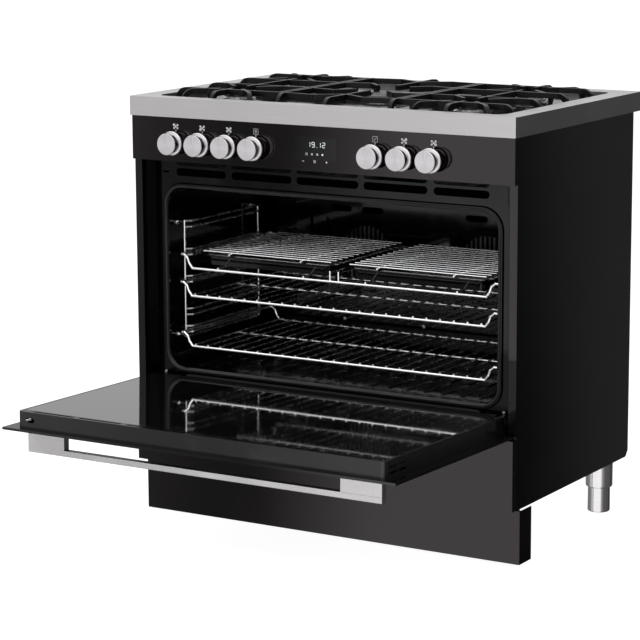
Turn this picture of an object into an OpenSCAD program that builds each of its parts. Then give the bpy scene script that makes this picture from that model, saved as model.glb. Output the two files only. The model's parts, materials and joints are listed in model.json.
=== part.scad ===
// Free-standing range cooker, 90 cm wide: gas hob over one wide oven with two fans.
// Millimetres. x runs to the right, y to the back, z up from the floor.
// The oven door is drawn open. Front to back, every place is counted from the hob's
// front face, and at_origin() moves the whole to its reference point on the floor.

/* [Hob frame] */
// Width of the hob frame
hob_w = 900; // [880:1:960]
// Depth of the hob frame, front to back
hob_d = 581; // [570:1:620]
// Height of the hob's top above the floor
hob_top = 895; // [880:1:930]
// Height of the hob frame's folded edge
hob_h = 40; // [34:1:48]
// Width of the hob's rim at the sides
rim_side = 45; // [36:1:52]
// Width of the hob's rim at the front
rim_front = 33; // [26:1:40]
// Width of the hob's rim at the back
rim_back = 50; // [40:1:60]
// Depth of the well below the rim
well_drop = 11; // [8:0.5:13]
// Radius of the well's corners
well_r = 25; // [12:1:32]

/* [Cabinet] */
// Thickness of the sheet steel
sheet = 1.5; // [1.2:0.1:2]
// Gap between pieces that don't touch
gap = 0.3; // [0.2:0.05:0.5]
// Overhang of the hob frame past each side panel
side_overhang = 1.5; // [1:0.5:4]
// Distance of the side panels' front edge behind the hob's front
side_setback = 14; // [12:1:18]
// Distance of the side panels' back edge before the hob's back
back_setback = 36; // [20:1:45]
// Width of the side panels' folded edges
flange_w = 17; // [14:1:19]
// Height of the side panels' lower edge above the floor
body_foot = 118; // [100:1:140]
// Size of the cut at the side panels' lower back corner
foot_chamfer = 12; // [4:1:20]
// Distance of the door and fascias behind the hob's front
face_setback = 4; // [2:0.5:6]
// Distance of the fascias' ends inside the side panels' outer faces
fascia_inset = 1.3; // [1:0.1:3]
// Height of the control fascia
fascia_h = 92; // [80:1:100]
// Gap above and below the oven door
door_gap = 4; // [3:0.5:6]

/* [Legs and plinth] */
// Diameter of the leg sleeves
sleeve_d = 58; // [50:1:64]
// Diameter of the levelling feet
foot_d = 48; // [36:1:52]
// Height of the sleeves' lower edge above the floor
sleeve_foot = 54; // [40:1:70]
// Distance of the legs' centres inside the hob's ends
leg_in = 50; // [46:1:70]
// Distance of the back legs' centres before the hob's back
leg_back = 74; // [71:1:100]
// Height of the plinth
plinth_h = 109.4; // [80:1:112]
// Height of the plinth's lower edge above the floor
plinth_foot = 3; // [2:0.5:5]
// Distance of the plinth behind the hob's front
plinth_y = 37; // [30:1:45]
// Length of the plinth's side returns
plinth_return = 52; // [30:1:70]

/* [Oven] */
// Distance of the oven's mouth inside the hob's ends
mouth_side = 60; // [59:1:80]
// Height of the oven's mouth
mouth_h = 382.5; // [376:0.5:392]
// Distance of the mouth's top below the control fascia
mouth_drop = 62; // [58:0.5:70]
// Radius of the mouth's corners
mouth_r = 36; // [20:1:45]
// Distance of the front frame behind the hob's front
frame_y = 50; // [48:0.5:56]
// Height of the lip round the mouth
lip_h = 4; // [2:0.5:4.5]
// Width of the lip round the mouth
lip_w = 12; // [9:0.5:14]
// Reach of the cavity past the mouth on each side
cavity_side = 15; // [10:1:17]
// Distance of the cavity's back before the hob's back
cavity_clear = 76.5; // [73:0.5:90]
// Distance of the fan cover before the cavity's back
cover_d = 50; // [44:1:52]
// Distance of the fan cover inside the cavity's sides
cover_side = 31; // [20:1:50]
// Height of the cavity above and below the fan cover, together
cover_less = 42.5; // [38:0.5:50]
// Distance from the middle to each fan
fan_x = 149; // [140:1:160]
// Height of the fans above the middle of the mouth
fan_up = 6.25; // [0:0.25:8]
// Diameter of the fan wheels
fan_d = 130; // [110:1:140]
// Thickness of the insulation
wool = 22; // [18:1:23]

/* [Wire racks, shelves and trays] */
// Diameter of the shelves' frame wire
frame_wire = 6; // [5:0.5:6.5]
// Diameter of the thin wires
thin_wire = 4; // [3:0.5:5]
// Diameter of the side racks' wire
rack_wire = 5; // [4:0.5:5.5]
// Clear distance between a shelf's frame wire and its side rack wire, sideways
rack_play = 9.6; // [9:0.2:12]
// Height between the wires of one runner pair
runner_gap = 13; // [12.5:0.5:15]
// Heights of the five runner levels above the cavity's floor
runners = [64, 102, 172.5, 231.5, 291.5];
// Distance of the shelves' back wire before the cavity's back
shelf_back = 84.5; // [75:0.5:110]
// Distance of the shelves' front wire behind the front frame
shelf_in = 23; // [15:1:30]
// Depth of a shelf's deck below its side wires
shelf_drop = 28; // [24:1:32]
// Number of wires across a shelf
shelf_wires = 23; // [15:2:27]
// Depth of the trays
tray_h = 22; // [18:1:24]
// Distance of each tray's outer edge inside the carrier's bend
tray_side = 4.4; // [3:0.2:20]
// Length of a shelf past a tray
tray_less = 24; // [22:1:50]
// Distance of each tray's inner edge from the middle
tray_x = 14; // [12:1:18]
// Number of wires in a tray's grid
grid_wires = 14; // [8:1:18]

/* [Oven door] */
// Height of the oven door past the mouth's
door_over = 108.5; // [107:0.5:112]
// Thickness of the door's outer glass
glass = 5; // [4:0.5:6]
// Depth of the door's inner frame
door_frame_d = 33.5; // [30:0.5:34]
// Distance of the inner frame's sides inside the glass's edge
door_side_in = 28.7; // [28:0.1:34]
// Distance of the inner frame's top below the glass's edge
door_top_in = 13; // [8:0.5:20]
// Height of the hinge axis above the door's lower edge
hinge_up = 13.7; // [13:0.1:15]
// Distance of the hinge axis behind the door's outer face
hinge_in = 16.5; // [16:0.1:18]
// Diameter of the hinge pins
hinge_pin_d = 8; // [6:0.5:9]
// Running clearance of pins and spindles, on the radius
run = 0.05; // [0.03:0.01:0.08]
// Angle through which the door opens
door_open = 88.8; // [80:0.1:90]
// Height of the handle bar
handle_h = 16; // [12:1:20]
// Thickness of the handle bar
handle_t = 12; // [9:0.5:15]
// Distance of the handle bar's back before the glass
handle_out = 33; // [25:1:40]
// Distance of the handle's top below the glass's edge
handle_drop = 27; // [20:1:40]
// Distance of the handle's ends inside the glass's edge
handle_in = 43.5; // [30:0.5:60]
// Length of each handle block
block_l = 88; // [60:1:110]

/* [Controls] */
// Diameter of a knob's face
knob_d = 44.5; // [40:0.5:48]
// Diameter of a knob's ring
knob_ring_d = 50; // [48:0.5:54]
// Distance of a knob's face before the fascia
knob_out = 37; // [32:0.5:42]
// Height of the knobs above the fascia's lower edge
knob_up = 39.5; // [36:0.5:44]
// Travel of a gas knob when pushed
push = 3; // [2:0.5:3.5]
// Diameter of the knobs' spindles
spindle_d = 6; // [5:0.5:8]
// Width of the display window
display_w = 96; // [80:1:120]
// Height of the display window
display_h = 46; // [40:1:56]

/* [Burners and pan supports] */
// Distance of the outer burners inside the hob's ends
burner_in = 176; // [172:1:180]
// Distance from the middle burner to the front and back burners
burner_y = 132; // [126:1:138]
// Distance of the middle burner before the middle of the hob
burner_fore = 12.5; // [9:0.5:16]
// Diameter of the outer burners' caps
cap_d = 60; // [50:1:64]
// Diameter of the middle burner's outer cap
wok_d = 100; // [90:1:104]
// Width of a pan support's bars
bar_w = 10; // [8:0.5:12]
// Height of a pan support's bars
bar_h = 11; // [9:0.5:11.5]
// Height of the pan supports' top above the rim
grate_up = 13; // [12.5:0.5:16]
// Distance of the split between the pan supports from the middle
split_x = 138; // [134:1:142]

/* [Hidden] */
$fn = 64;

// Colours
black = "#1c1c1d";
enamel = "#141516";
steel = "#b4b2b0";
chrome = "#d6d6d8";
iron = "#202021";
wool_white = "#e8e4da";
alu = "#a8a9ab";
brass = "#b8963c";

// Heights
body_top = hob_top - hob_h;
fascia_foot = body_top - fascia_h;
door_top = fascia_foot - door_gap;
door_h = mouth_h + door_over;
door_foot = door_top - door_h;
low_top = door_foot - door_gap - 3.5;
mouth_top = fascia_foot - mouth_drop;
mouth_foot = mouth_top - mouth_h;
mouth_mid = (mouth_top + mouth_foot) / 2;
plate_top = hob_top - well_drop;
grate_top = hob_top + grate_up;
knob_z = fascia_foot + knob_up;
hinge_z = door_foot + hinge_up;
fan_z = mouth_mid + fan_up;

// Widths
hob_x = hob_w / 2;
body_x = hob_x - side_overhang;
inner_x = body_x - sheet;
face_x = body_x - fascia_inset;
glass_x = inner_x - gap;
door_x = glass_x - door_side_in;
frame_x = body_x - flange_w - 9.5;
mouth_w = hob_w - 2 * mouth_side;
cavity_w = mouth_w + 2 * cavity_side;
cavity_x = cavity_w / 2;
cover_w = cavity_w - 2 * cover_side;
cover_h = mouth_h - cover_less;
leg_x = hob_x - leg_in;
burner_x = hob_x - burner_in;
burner_mid = hob_d / 2 - burner_fore;

// Depths
side_back = hob_d - back_setback;
panel_y = side_back - 2 * sheet;
face_y = face_setback;
hinge_y = face_y + hinge_in;
cavity_y = frame_y + 2.5;
cavity_back = hob_d - cavity_clear;
leg_back_y = hob_d - leg_back;
cover_y = cavity_back - cover_d;
leg_front_y = plinth_y + sheet + gap + sleeve_d / 2;
door_back = face_y + glass + door_frame_d;
shelf_y = frame_y + shelf_in;
shelf_d = cavity_back - shelf_back - shelf_y;
tray_d = shelf_d - tray_less;
base_z = body_foot + 2;

// Runners of the side racks, and the shelves that rest on them
rack_x = cavity_x - 20;
runner_x = rack_x - 10;
rail_x = rack_x - rack_play;
function runner_z(level) = mouth_foot + runners[level];
function rail_z(level) = runner_z(level) + rack_wire / 2 + frame_wire / 2 + gap;
low_level = 0;
mid_level = 2;
tray_level = 3;
deck_x = rail_x - 26;
tray_w = deck_x - tray_side - tray_x;

// Knob places along the fascia, counted from the left
knob_xs = [-337, -271.5, -206, -140.5, 138.5, 204, 270];
gas_knobs = [0, 1, 2, 5, 6];
oven_knobs = [3, 4];
valve_y = side_setback + 4;
rail_y = 52;
pipe_z = knob_z + 27.5;

// Depth of the whole, from the open door's edge to the hob's back
door_reach = (door_top - hinge_z) * sin(door_open) + hinge_in * cos(door_open) - hinge_y;
mid_y = (hob_d - door_reach) / 2;

// ---- Helpers ----

module at_origin() translate([0, -mid_y, 0]) children();

module swung()
  at_origin() translate([0, hinge_y, hinge_z]) rotate([door_open, 0, 0])
    translate([0, -hinge_y, -hinge_z]) children();

module both_sides() {
  children();
  mirror([1, 0, 0]) children();
}

// A box given by its two corners
module block(low, high) translate(low) cube(high - low);

// A rectangle with round corners, about its centre
module round_rect(w, h, r) {
  square([w - 2 * r, h], center = true);
  square([w, h - 2 * r], center = true);
  for (sx = [-1, 1], sy = [-1, 1])
    translate([sx * (w / 2 - r), sy * (h / 2 - r)]) circle(r);
}

// Stands a shape drawn in x and z up, and gives it depth from y0 to y1
module upright(y0, y1) translate([0, y1, 0]) rotate([90, 0, 0]) linear_extrude(y1 - y0) children();

// A slot with round ends along x, drawn in x and z
module slot_shape(x0, x1, h) {
  translate([(x0 + x1) / 2, 0]) square([x1 - x0 - h, h], center = true);
  translate([x0 + h / 2, 0]) circle(d = h);
  translate([x1 - h / 2, 0]) circle(d = h);
}

// Carries a section round a rectangle w by h with corner radius r. In the section
// x points outwards from the line and y along z.
module round_frame(w, h, r) {
  for (k = [0:3]) {
    along = k % 2 == 0 ? h : w;
    out = k % 2 == 0 ? w : h;
    rotate(90 * k) {
      translate([out / 2, 0, 0]) rotate([90, 0, 0])
        linear_extrude(along - 2 * r, center = true) children();
      translate([out / 2 - r, along / 2 - r, 0]) rotate_extrude(angle = 90)
        translate([r, 0]) children();
    }
  }
}

// A straight wire from p to q, with round ends where it meets others
module wire(p, q, d) {
  v = q - p;
  translate(p) rotate([0, acos(v.z / norm(v)), atan2(v.y, v.x)]) cylinder(h = norm(v), d = d);
}

// A bead where wires meet, a little fuller than the wire
module bead(p, d) translate(p) sphere(d = 1.06 * d);

// A wire bent at each point of a path
module bent_wire(points, d) {
  for (i = [1:len(points) - 1]) wire(points[i - 1], points[i], d);
  for (i = [1:len(points) - 2]) bead(points[i], d);
}

// ---- Cabinet ----

module side_panel() {
  translate([inner_x, 0, 0]) rotate([90, 0, 90]) linear_extrude(sheet) polygon([
    [side_setback, body_foot], [side_back - foot_chamfer, body_foot],
    [side_back, body_foot + foot_chamfer], [side_back, body_top], [side_setback, body_top]]);
  // The front fold is cut away where the open door's lower edge swings in
  for (z = [[body_foot, hinge_z - swing_r], [hinge_z - swing_r + 14.5, body_top]])
    block([body_x - flange_w, side_setback, z[0]], [body_x - 1, side_setback + sheet, z[1]]);
  block([body_x - flange_w, side_back - sheet, body_foot + foot_chamfer], [body_x - 1, side_back, body_top]);
}

swing_r = norm([hinge_up, hinge_in]) + 1;

module side_panel_left() color(black) at_origin() mirror([1, 0, 0]) side_panel();

module side_panel_right() color(black) at_origin() side_panel();

louvre_rows = 9;
louvre_w = 70;
louvre_pitch = 16;
inlet_x = inner_x - 67;
inlet_z = body_foot + 60;
box_x = 107 - inner_x;
box_z = inlet_z + 20;
box_w = 90;

module back_panel() color(alu) at_origin() {
  difference() {
    block([-inner_x, panel_y, body_foot + foot_chamfer + 1], [inner_x, panel_y + sheet, body_top]);
    for (side = [-1, 0, 1], row = [0:louvre_rows - 1])
      translate([side * fan_x * 1.5, 0, fan_z + 60 + row * louvre_pitch])
        upright(panel_y - 1, panel_y + sheet + 1) slot_shape(-louvre_w / 2, louvre_w / 2, 6);
    translate([inlet_x, panel_y - 1, inlet_z]) rotate([-90, 0, 0])
      cylinder(h = sheet + 2, d = inlet_d + 2 * gap);
  }
}

module base_frame() color(alu) at_origin() {
  difference() {
    union() {
      block([-inner_x, side_setback + 8, base_z], [inner_x, panel_y, base_z + sheet]);
      block([-inner_x + flange_w, side_setback + 6, base_z], [inner_x - flange_w, side_setback + 8, base_z + 34]);
      for (x = [-1, 1]) block([x * inner_x - (x > 0 ? sheet : 0), side_setback + 8, base_z],
        [x * inner_x + (x > 0 ? 0 : sheet), panel_y, base_z + 30]);
      for (x = [-leg_x, leg_x], y = [leg_front_y, leg_back_y])
        translate([x, y, base_z + sheet]) cylinder(h = 4, d = sleeve_d + 8);
    }
    for (x = [-leg_x, leg_x], y = [leg_front_y, leg_back_y])
      translate([x, y, base_z - 1]) cylinder(h = 8, d = leg_bolt_d + 2 * gap);
    for (x = [-2:2]) translate([x * 130, side_back / 2, base_z - 1]) cylinder(h = 4, d = 60);
  }
}

leg_bolt_d = 10;

module leg() {
  // Sleeve with a rounded lower edge, and the bolt that holds it
  difference() {
    rotate_extrude() {
      translate([0, sleeve_foot + 4]) square([sleeve_d / 2, base_z - sleeve_foot - 4]);
      translate([0, sleeve_foot]) square([sleeve_d / 2 - 4, 4]);
      translate([sleeve_d / 2 - 4, sleeve_foot + 4]) circle(4);
    }
    translate([0, 0, sleeve_foot - 1]) cylinder(h = base_z - sleeve_foot - 7, d = foot_d + 2 * gap);
  }
  translate([0, 0, base_z]) cylinder(h = 14, d = leg_bolt_d);
  // Levelling foot that screws up into it
  difference() {
    rotate_extrude() {
      translate([0, 3]) square([foot_d / 2, base_z - 21]);
      square([foot_d / 2 - 3, 3.5]);
      translate([foot_d / 2 - 3, 3]) circle(3);
    }
    translate([0, 0, 8]) cylinder(h = base_z, d = foot_d - 6);
  }
}

module legs() color(steel) at_origin()
  for (x = [-leg_x, leg_x], y = [leg_front_y, leg_back_y]) translate([x, y, 0]) leg();

module plinth() color(black) at_origin() {
  z1 = plinth_foot + plinth_h;
  difference() {
    union() {
      block([-face_x, plinth_y, plinth_foot], [face_x, plinth_y + sheet, z1]);
      both_sides() block([face_x - sheet, plinth_y, plinth_foot], [face_x, plinth_y + plinth_return, z1]);
      block([-face_x, plinth_y, z1 - sheet], [face_x, plinth_y + 10, z1]);
    }
    both_sides() translate([leg_x, leg_front_y, z1 - 2 * sheet]) cylinder(h = 3 * sheet, r = sleeve_d / 2 + gap);
  }
  both_sides() block([leg_x - 12, plinth_y + sheet, z1 - 24], [leg_x + 12, plinth_y + sheet + gap, z1 - 10]);
}

// A folded panel between two heights: face, side returns before the side panels' edges,
// and returns along the top and the bottom
module folded_panel(z0, z1, top_d, bottom_d) {
  side_d = side_setback - gap - face_y;
  mid_x = body_x - flange_w - 1;
  block([-face_x, face_y, z0], [face_x, face_y + sheet, z1]);
  both_sides() block([face_x - sheet, face_y, z0], [face_x, face_y + side_d, z1]);
  block([-mid_x, face_y, z1 - sheet], [mid_x, face_y + top_d, z1]);
  block([-mid_x, face_y, z0], [mid_x, face_y + bottom_d, z0 + sheet]);
}

module lower_fascia() color(black) at_origin()
  folded_panel(body_foot, low_top, 5, side_setback + 6 - face_y);

module control_fascia() color(black) at_origin() difference() {
  folded_panel(fascia_foot, body_top, rail_y - 2 - face_y, side_setback - face_y);
  for (x = knob_xs) translate([x, face_y - 1, knob_z]) rotate([-90, 0, 0])
    cylinder(h = sheet + 2, d = spindle_d + 4);
  translate([0, 0, fascia_foot + fascia_h / 2]) upright(face_y - 1, face_y + sheet + 1)
    round_rect(display_w, display_h, 3);
}

module display_panel() color("#0c0d0f") at_origin() translate([0, 0, fascia_foot + fascia_h / 2]) {
  upright(face_y, face_y + sheet) round_rect(display_w, display_h, 3);
  upright(face_y + sheet, face_y + 18) round_rect(display_w + 16, display_h + 16, 2);
}

// ---- Oven front ----

slot_rows = [mouth_top + 34, mouth_top + 55.5];
slot_h = 16;
slot_spans = [for (s = [[-73, 73], [85, 231], [245, 369]]) s * mouth_w / 780];
face_corner = 12;

module vent_slots(depth0, depth1) {
  for (z = slot_rows) translate([0, 0, z]) upright(depth0, depth1) {
    for (i = [0:2]) slot_shape(slot_spans[i][0], slot_spans[i][1], slot_h);
    for (i = [1:2]) mirror([1, 0]) slot_shape(slot_spans[i][0], slot_spans[i][1], slot_h);
  }
}

arm_x = door_x - 15;
arm_t = 8;
arm_h = 14;

module front_frame() color(enamel) at_origin() {
  z0 = door_foot + 2;
  z1 = fascia_foot + 4;
  main_x = frame_x - 9.5;
  difference() {
    union() {
      // Main face with rounded top corners, and the strip set back round it
      upright(frame_y, frame_y + 2) {
        translate([-main_x, z0]) square([2 * main_x, z1 - z0 - face_corner]);
        translate([-main_x + face_corner, z0]) square([2 * (main_x - face_corner), z1 - z0]);
        for (x = [-1, 1]) translate([x * (main_x - face_corner), z1 - face_corner]) circle(face_corner);
      }
      block([-frame_x, frame_y + 1, z0], [frame_x, cavity_y, z1]);
      // Lip round the mouth
      translate([0, frame_y, mouth_mid]) rotate([90, 0, 0]) round_frame(mouth_w, mouth_h, mouth_r)
        polygon([[0, 0], [lip_w, 0], [lip_w - 2.5, lip_h], [1.5, lip_h], [0, lip_h - 1.5]]);
      // Side returns out to the side panels, and the fold above the vents
      both_sides() {
        block([frame_x - sheet, frame_y + 1, z0], [frame_x, frame_y + 20, z1]);
        block([frame_x - sheet, frame_y + 20 - sheet, z0], [inner_x, frame_y + 20, z1]);
      }
      block([-frame_x, frame_y + 1, z1 - sheet], [frame_x, frame_y + 20, z1]);
      // Cover plate at the top right
      translate([main_x - 18.5, 0, mouth_top + 31.5]) upright(frame_y - 1, frame_y) round_rect(32, 39, 5);
    }
    translate([0, 0, mouth_mid]) upright(frame_y - 1, cavity_y + 1) round_rect(mouth_w, mouth_h, mouth_r);
    vent_slots(frame_y - 2, cavity_y + 1);
    for (x = [-1, 1]) block([x * arm_x - arm_t / 2 - 1, frame_y - 1, hinge_z - arm_h / 2 - 1],
      [x * arm_x + arm_t / 2 + 1, cavity_y + 1, hinge_z + arm_h / 2 + 1]);
    translate([17.5 - main_x, 0, mouth_top + 33]) upright(frame_y - 1, cavity_y + 1) slot_shape(-8, 8, 4);
  }
}

module sill_strip() color(black) at_origin() {
  x = mouth_w / 2 - 35;
  z0 = hinge_z + 5;
  z1 = z0 + 17;
  upright(frame_y - 2, frame_y)
    polygon([[-x, (z0 + z1) / 2], [8 - x, z1], [x - 8, z1], [x, (z0 + z1) / 2], [x - 8, z0], [8 - x, z0]]);
}

gasket_w = 6;

module door_gasket() color("#2a2a2b") at_origin() {
  stem = lip_h;
  crest = frame_y - door_back - gap;
  translate([0, frame_y, mouth_mid]) rotate([90, 0, 0])
    round_frame(mouth_w + 3, mouth_h + 3, mouth_r + 1.5)
      polygon([[0, stem], [gasket_w, stem], [gasket_w - 1.5, crest - 1], [gasket_w / 2, crest], [1, crest - 1]]);
}

module hinge_arm() difference() {
  union() {
    translate([-arm_t / 2, hinge_y, hinge_z]) rotate([0, 90, 0]) cylinder(h = arm_t, r = arm_eye);
    block([-arm_t / 2, hinge_y, hinge_z - arm_h / 2], [arm_t / 2, arm_end, hinge_z + arm_h / 2]);
    // Foot bolted to the back of the front frame
    block([-arm_t / 2 - 3, cavity_y, hinge_z - arm_h / 2 - 4], [arm_t / 2 + 3, arm_end, hinge_z + arm_h / 2 + 4]);
  }
  translate([-arm_t / 2 - 1, hinge_y, hinge_z]) rotate([0, 90, 0])
    cylinder(h = arm_t + 2, r = hinge_pin_d / 2 + run);
}

arm_eye = 8.5;
arm_end = frame_y + 18;

module hinge_arms() color(steel) at_origin()
  for (x = [-1, 1]) translate([x * arm_x, 0, 0]) hinge_arm();

// ---- Cavity ----

cavity_r = 22;
rib_count = 17;
rib_pitch = 42;
motor_shaft_d = 8;

module cavity_shape(grow) round_rect(cavity_w + 2 * grow, mouth_h + 2 * grow, cavity_r + grow);

module oven_cavity() color(enamel) at_origin() difference() {
  union() {
    translate([0, 0, mouth_mid]) {
      upright(cavity_y, cavity_back + sheet) cavity_shape(sheet);
      upright(cavity_y, cavity_y + sheet) round_rect(cavity_w + 16, mouth_h + 16, cavity_r + 8);
    }
  }
  translate([0, 0, mouth_mid]) difference() {
    upright(cavity_y - 1, cavity_back) cavity_shape(0);
    // Ribs pressed up into the floor
    for (i = [0:rib_count - 1]) translate([(i - (rib_count - 1) / 2) * rib_pitch, cavity_y + 30, -mouth_h / 2 - 7])
      rotate([-90, 0, 0]) cylinder(h = cover_y - cavity_y - 50, r = 9);
  }
  for (x = [-fan_x, fan_x]) translate([x, cavity_back - 1, fan_z]) rotate([-90, 0, 0])
    cylinder(h = sheet + 2, d = motor_shaft_d + 8);
  for (x = [-fan_x, fan_x], s = [-1, 1])
    translate([x + s * ring_r * sin(ring_gap), cavity_back - 1, fan_z + ring_r * cos(ring_gap)])
      rotate([-90, 0, 0]) cylinder(h = sheet + 2, d = tube_d + 2 * gap);
  for (x = [-grill_x, grill_x]) translate([x, cavity_back - 1, grill_z]) rotate([-90, 0, 0])
    cylinder(h = sheet + 2, d = tube_d + 2 * gap);
}

vent_w = 5;
vent_pitch = 11;
vent_r = 69;
emboss_r = 80;
cover_mid = mouth_foot + cover_h / 2 + 12;
oblongs = [102, 182];
oblong_w = 53;

// Upright slots that fill a circle
module fan_slots() for (i = [-6:6]) {
  half = sqrt(vent_r * vent_r - pow(i * vent_pitch, 2));
  translate([i * vent_pitch, 0]) {
    square([vent_w, 2 * half - vent_w], center = true);
    for (s = [-1, 1]) translate([0, s * (half - vent_w / 2)]) circle(d = vent_w, $fn = 24);
  }
}

module fan_cover() color(enamel) at_origin() difference() {
  union() {
    translate([0, 0, cover_mid]) difference() {
      upright(cover_y, cavity_back) round_rect(cover_w, cover_h, 18);
      upright(cover_y + sheet, cavity_back + 1) round_rect(cover_w - 2 * sheet, cover_h - 2 * sheet, 18 - sheet);
    }
    for (x = [-fan_x, fan_x]) translate([x, cover_y + 0.5, fan_z]) rotate([90, 0, 0])
      rotate_extrude() translate([emboss_r - 4, 0]) polygon([[0, 0], [8, 0], [5.5, 2.5], [2.5, 2.5]]);
  }
  for (x = [-fan_x, fan_x]) translate([x, 0, fan_z]) upright(cover_y - 3, cover_y + sheet + 1) fan_slots();
  for (side = [-1, 1], x = oblongs) translate([side * (x + oblong_w / 2), 0, fan_z + 102])
    upright(cover_y - 3, cover_y + sheet + 1) slot_shape(-oblong_w / 2, oblong_w / 2, 14);
  for (side = [-1, 1], x = [244, 285]) translate([side * x, cover_y - 3, fan_z + 40])
    block([-3.5, 0, 0], [3.5, sheet + 5, 40]);
  // Side outlets for the hot air
  for (side = [-1, 1], row = [-3:3]) translate([side * cover_w / 2, cover_y + 12, cover_mid + row * 40])
    block([-3, 0, -12], [3, cover_d - 24, 12]);
}

lamp_x = cavity_x - 75;
lamp_y = cavity_back - 122;

module oven_lamps() color("#d8dcd8") at_origin() both_sides()
  translate([lamp_x, lamp_y, mouth_top]) rotate_extrude() {
    translate([0, -2]) square([24, 2]);
    polygon([[0, -8], [14, -8], [20, -2], [0, -2]]);
  }

tube_d = 6.4;
ring_r = fan_d / 2 + 14;
ring_gap = 10;
grill_x = cavity_x - 105;
grill_z = mouth_top - 10;
grill_tubes = 6;
grill_front = cavity_y + 70;

// A serpentine of straight tubes joined by half rings. Both ends run on to y2.
module serpentine(y0, y1, y2, z) {
  pitch = 2 * grill_x / (grill_tubes - 1);
  r = pitch / 2;
  for (i = [0:grill_tubes - 1]) {
    last = i == 0 || i == grill_tubes - 1;
    translate([i * pitch - grill_x, y0 + r, z]) rotate([-90, 0, 0])
      cylinder(h = (last ? y2 : y1 - r) - y0 - r, d = tube_d);
    if (i < grill_tubes - 1) translate([(i + 0.5) * pitch - grill_x, i % 2 == 0 ? y0 + r : y1 - r, z])
      rotate(i % 2 == 0 ? 180 : 0) rotate_extrude(angle = 180) translate([r, 0]) circle(d = tube_d);
  }
}

module grill_element() color("#3a3a3c") at_origin() 
  serpentine(grill_front, cavity_back - 40, cavity_back + 14, grill_z);

base_el_z = mouth_foot - sheet - gap - tube_d / 2;

module heating_elements() color("#3a3a3c") at_origin() {
  serpentine(grill_front, cavity_back - 90, cavity_back - 30, base_el_z);
  for (x = [-fan_x, fan_x]) translate([x, cavity_back - 16, fan_z]) rotate([90, 0, 0]) {
    rotate(90 + ring_gap) rotate_extrude(angle = 360 - 2 * ring_gap) translate([ring_r, 0]) circle(d = tube_d);
    for (s = [-1, 1]) translate([s * ring_r * sin(ring_gap), ring_r * cos(ring_gap), -30]) {
      cylinder(h = 30, d = tube_d);
      translate([0, 0, 30]) sphere(d = tube_d + 1.6);
    }
  }
}

module insulation() color(wool_white) at_origin() {
  y0 = frame_y + 20 + gap;
  y1 = cavity_back + sheet + wool;
  x1 = cavity_x + sheet + wool;
  z0 = base_el_z - tube_d / 2 - gap - wool;
  z1 = mouth_top + sheet + wool - 3;
  difference() {
    block([-x1, y0, z0], [x1, y1, z1]);
    translate([0, 0, mouth_mid]) upright(y0 - 1, cavity_back + sheet) cavity_shape(sheet);
    block([-grill_x - 20, y0 - 1, base_el_z - tube_d / 2 - gap], [grill_x + 20, cavity_back - 20, mouth_foot]);
    for (x = [-fan_x, fan_x]) translate([x, cavity_back, fan_z]) rotate([-90, 0, 0]) {
      cylinder(h = wool + 4, d = motor_d + 4);
      translate([-20, -ring_r - 10, 0]) cube([40, 40, wool + 4]);
    }
    for (x = [-grill_x, grill_x]) translate([x, cavity_back, grill_z]) rotate([-90, 0, 0])
      cylinder(h = wool + 4, d = tube_d + 2);
  }
}

// ---- Fans ----

motor_d = 84;
motor_h = panel_y - cavity_back - sheet - 3;

module motor_can(h, d) {
  difference() {
    cylinder(h = h, d = d);
    translate([0, 0, -1]) cylinder(h = h - 3, r = motor_shaft_d / 2 + run);
  }
}

module fan_motors() color(alu) at_origin() {
  for (x = [-fan_x, fan_x]) translate([x, cavity_back + sheet, fan_z]) rotate([-90, 0, 0])
    motor_can(motor_h, motor_d);
  translate([0, blower_y, duct_top + 2]) motor_can(26, 56);
}

module fan_wheel() {
  blades = 12;
  hub_y = 26;
  rotate([-90, 0, 0]) {
    cylinder(h = 1.5, d = fan_d);
    cylinder(h = hub_y + 6, d = 18);
    cylinder(h = cover_d - 8 + motor_h - 8, d = motor_shaft_d);
    for (i = [0:blades - 1]) rotate(i * 360 / blades) translate([fan_d / 2 - 26, -1, 0])
      rotate([0, 0, 25]) cube([24, 1.6, 24]);
  }
}

module fan_left() color(alu) at_origin() translate([-fan_x, cover_y + 8, fan_z]) fan_wheel();

module fan_right() color(alu) at_origin() translate([fan_x, cover_y + 8, fan_z]) fan_wheel();

blower_y = 390;
blower_d = 110;
duct_foot = mouth_top + sheet + wool - 3;
duct_top = duct_foot + 58;
duct_x = 380;

module cooling_duct() color(alu) at_origin() difference() {
  union() {
    block([-duct_x, cavity_y, duct_foot], [duct_x, blower_y - 30, slot_rows[1] + slot_h / 2 + 0.5]);
    translate([0, blower_y, duct_foot]) cylinder(h = duct_top - duct_foot, d = blower_d + 44);
  }
  block([-duct_x + sheet, cavity_y - 1, duct_foot + sheet],
    [duct_x - sheet, blower_y - 30 - sheet, slot_rows[1] + slot_h / 2 - 1]);
  translate([0, blower_y, duct_foot + sheet])
    cylinder(h = duct_top - duct_foot - 2 * sheet, d = blower_d + 44 - 2 * sheet);
  // Inlet, with a bar left across it for the motor
  translate([0, blower_y, duct_top - 3]) difference() {
    cylinder(h = 6, d = blower_d - 20);
    translate([-blower_d / 2, -14, -1]) cube([blower_d, 28, 8]);
  }
  translate([0, blower_y, duct_top - 3]) cylinder(h = 6, d = motor_shaft_d + 2);
}

module blower_wheel() color(alu) at_origin() translate([0, blower_y, duct_foot + 8]) {
  blades = 16;
  cylinder(h = 2, d = blower_d);
  cylinder(h = 30, d = 20);
  cylinder(h = duct_top - duct_foot - 8 + 18, d = motor_shaft_d);
  for (i = [0:blades - 1]) rotate(i * 360 / blades) translate([blower_d / 2 - 18, -1, 0])
    rotate([0, 0, 30]) cube([18, 1.6, 34]);
}

// ---- Racks, shelves and trays ----

rack_y0 = shelf_y + 27;
rack_y1 = shelf_y + shelf_d - 32;

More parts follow.
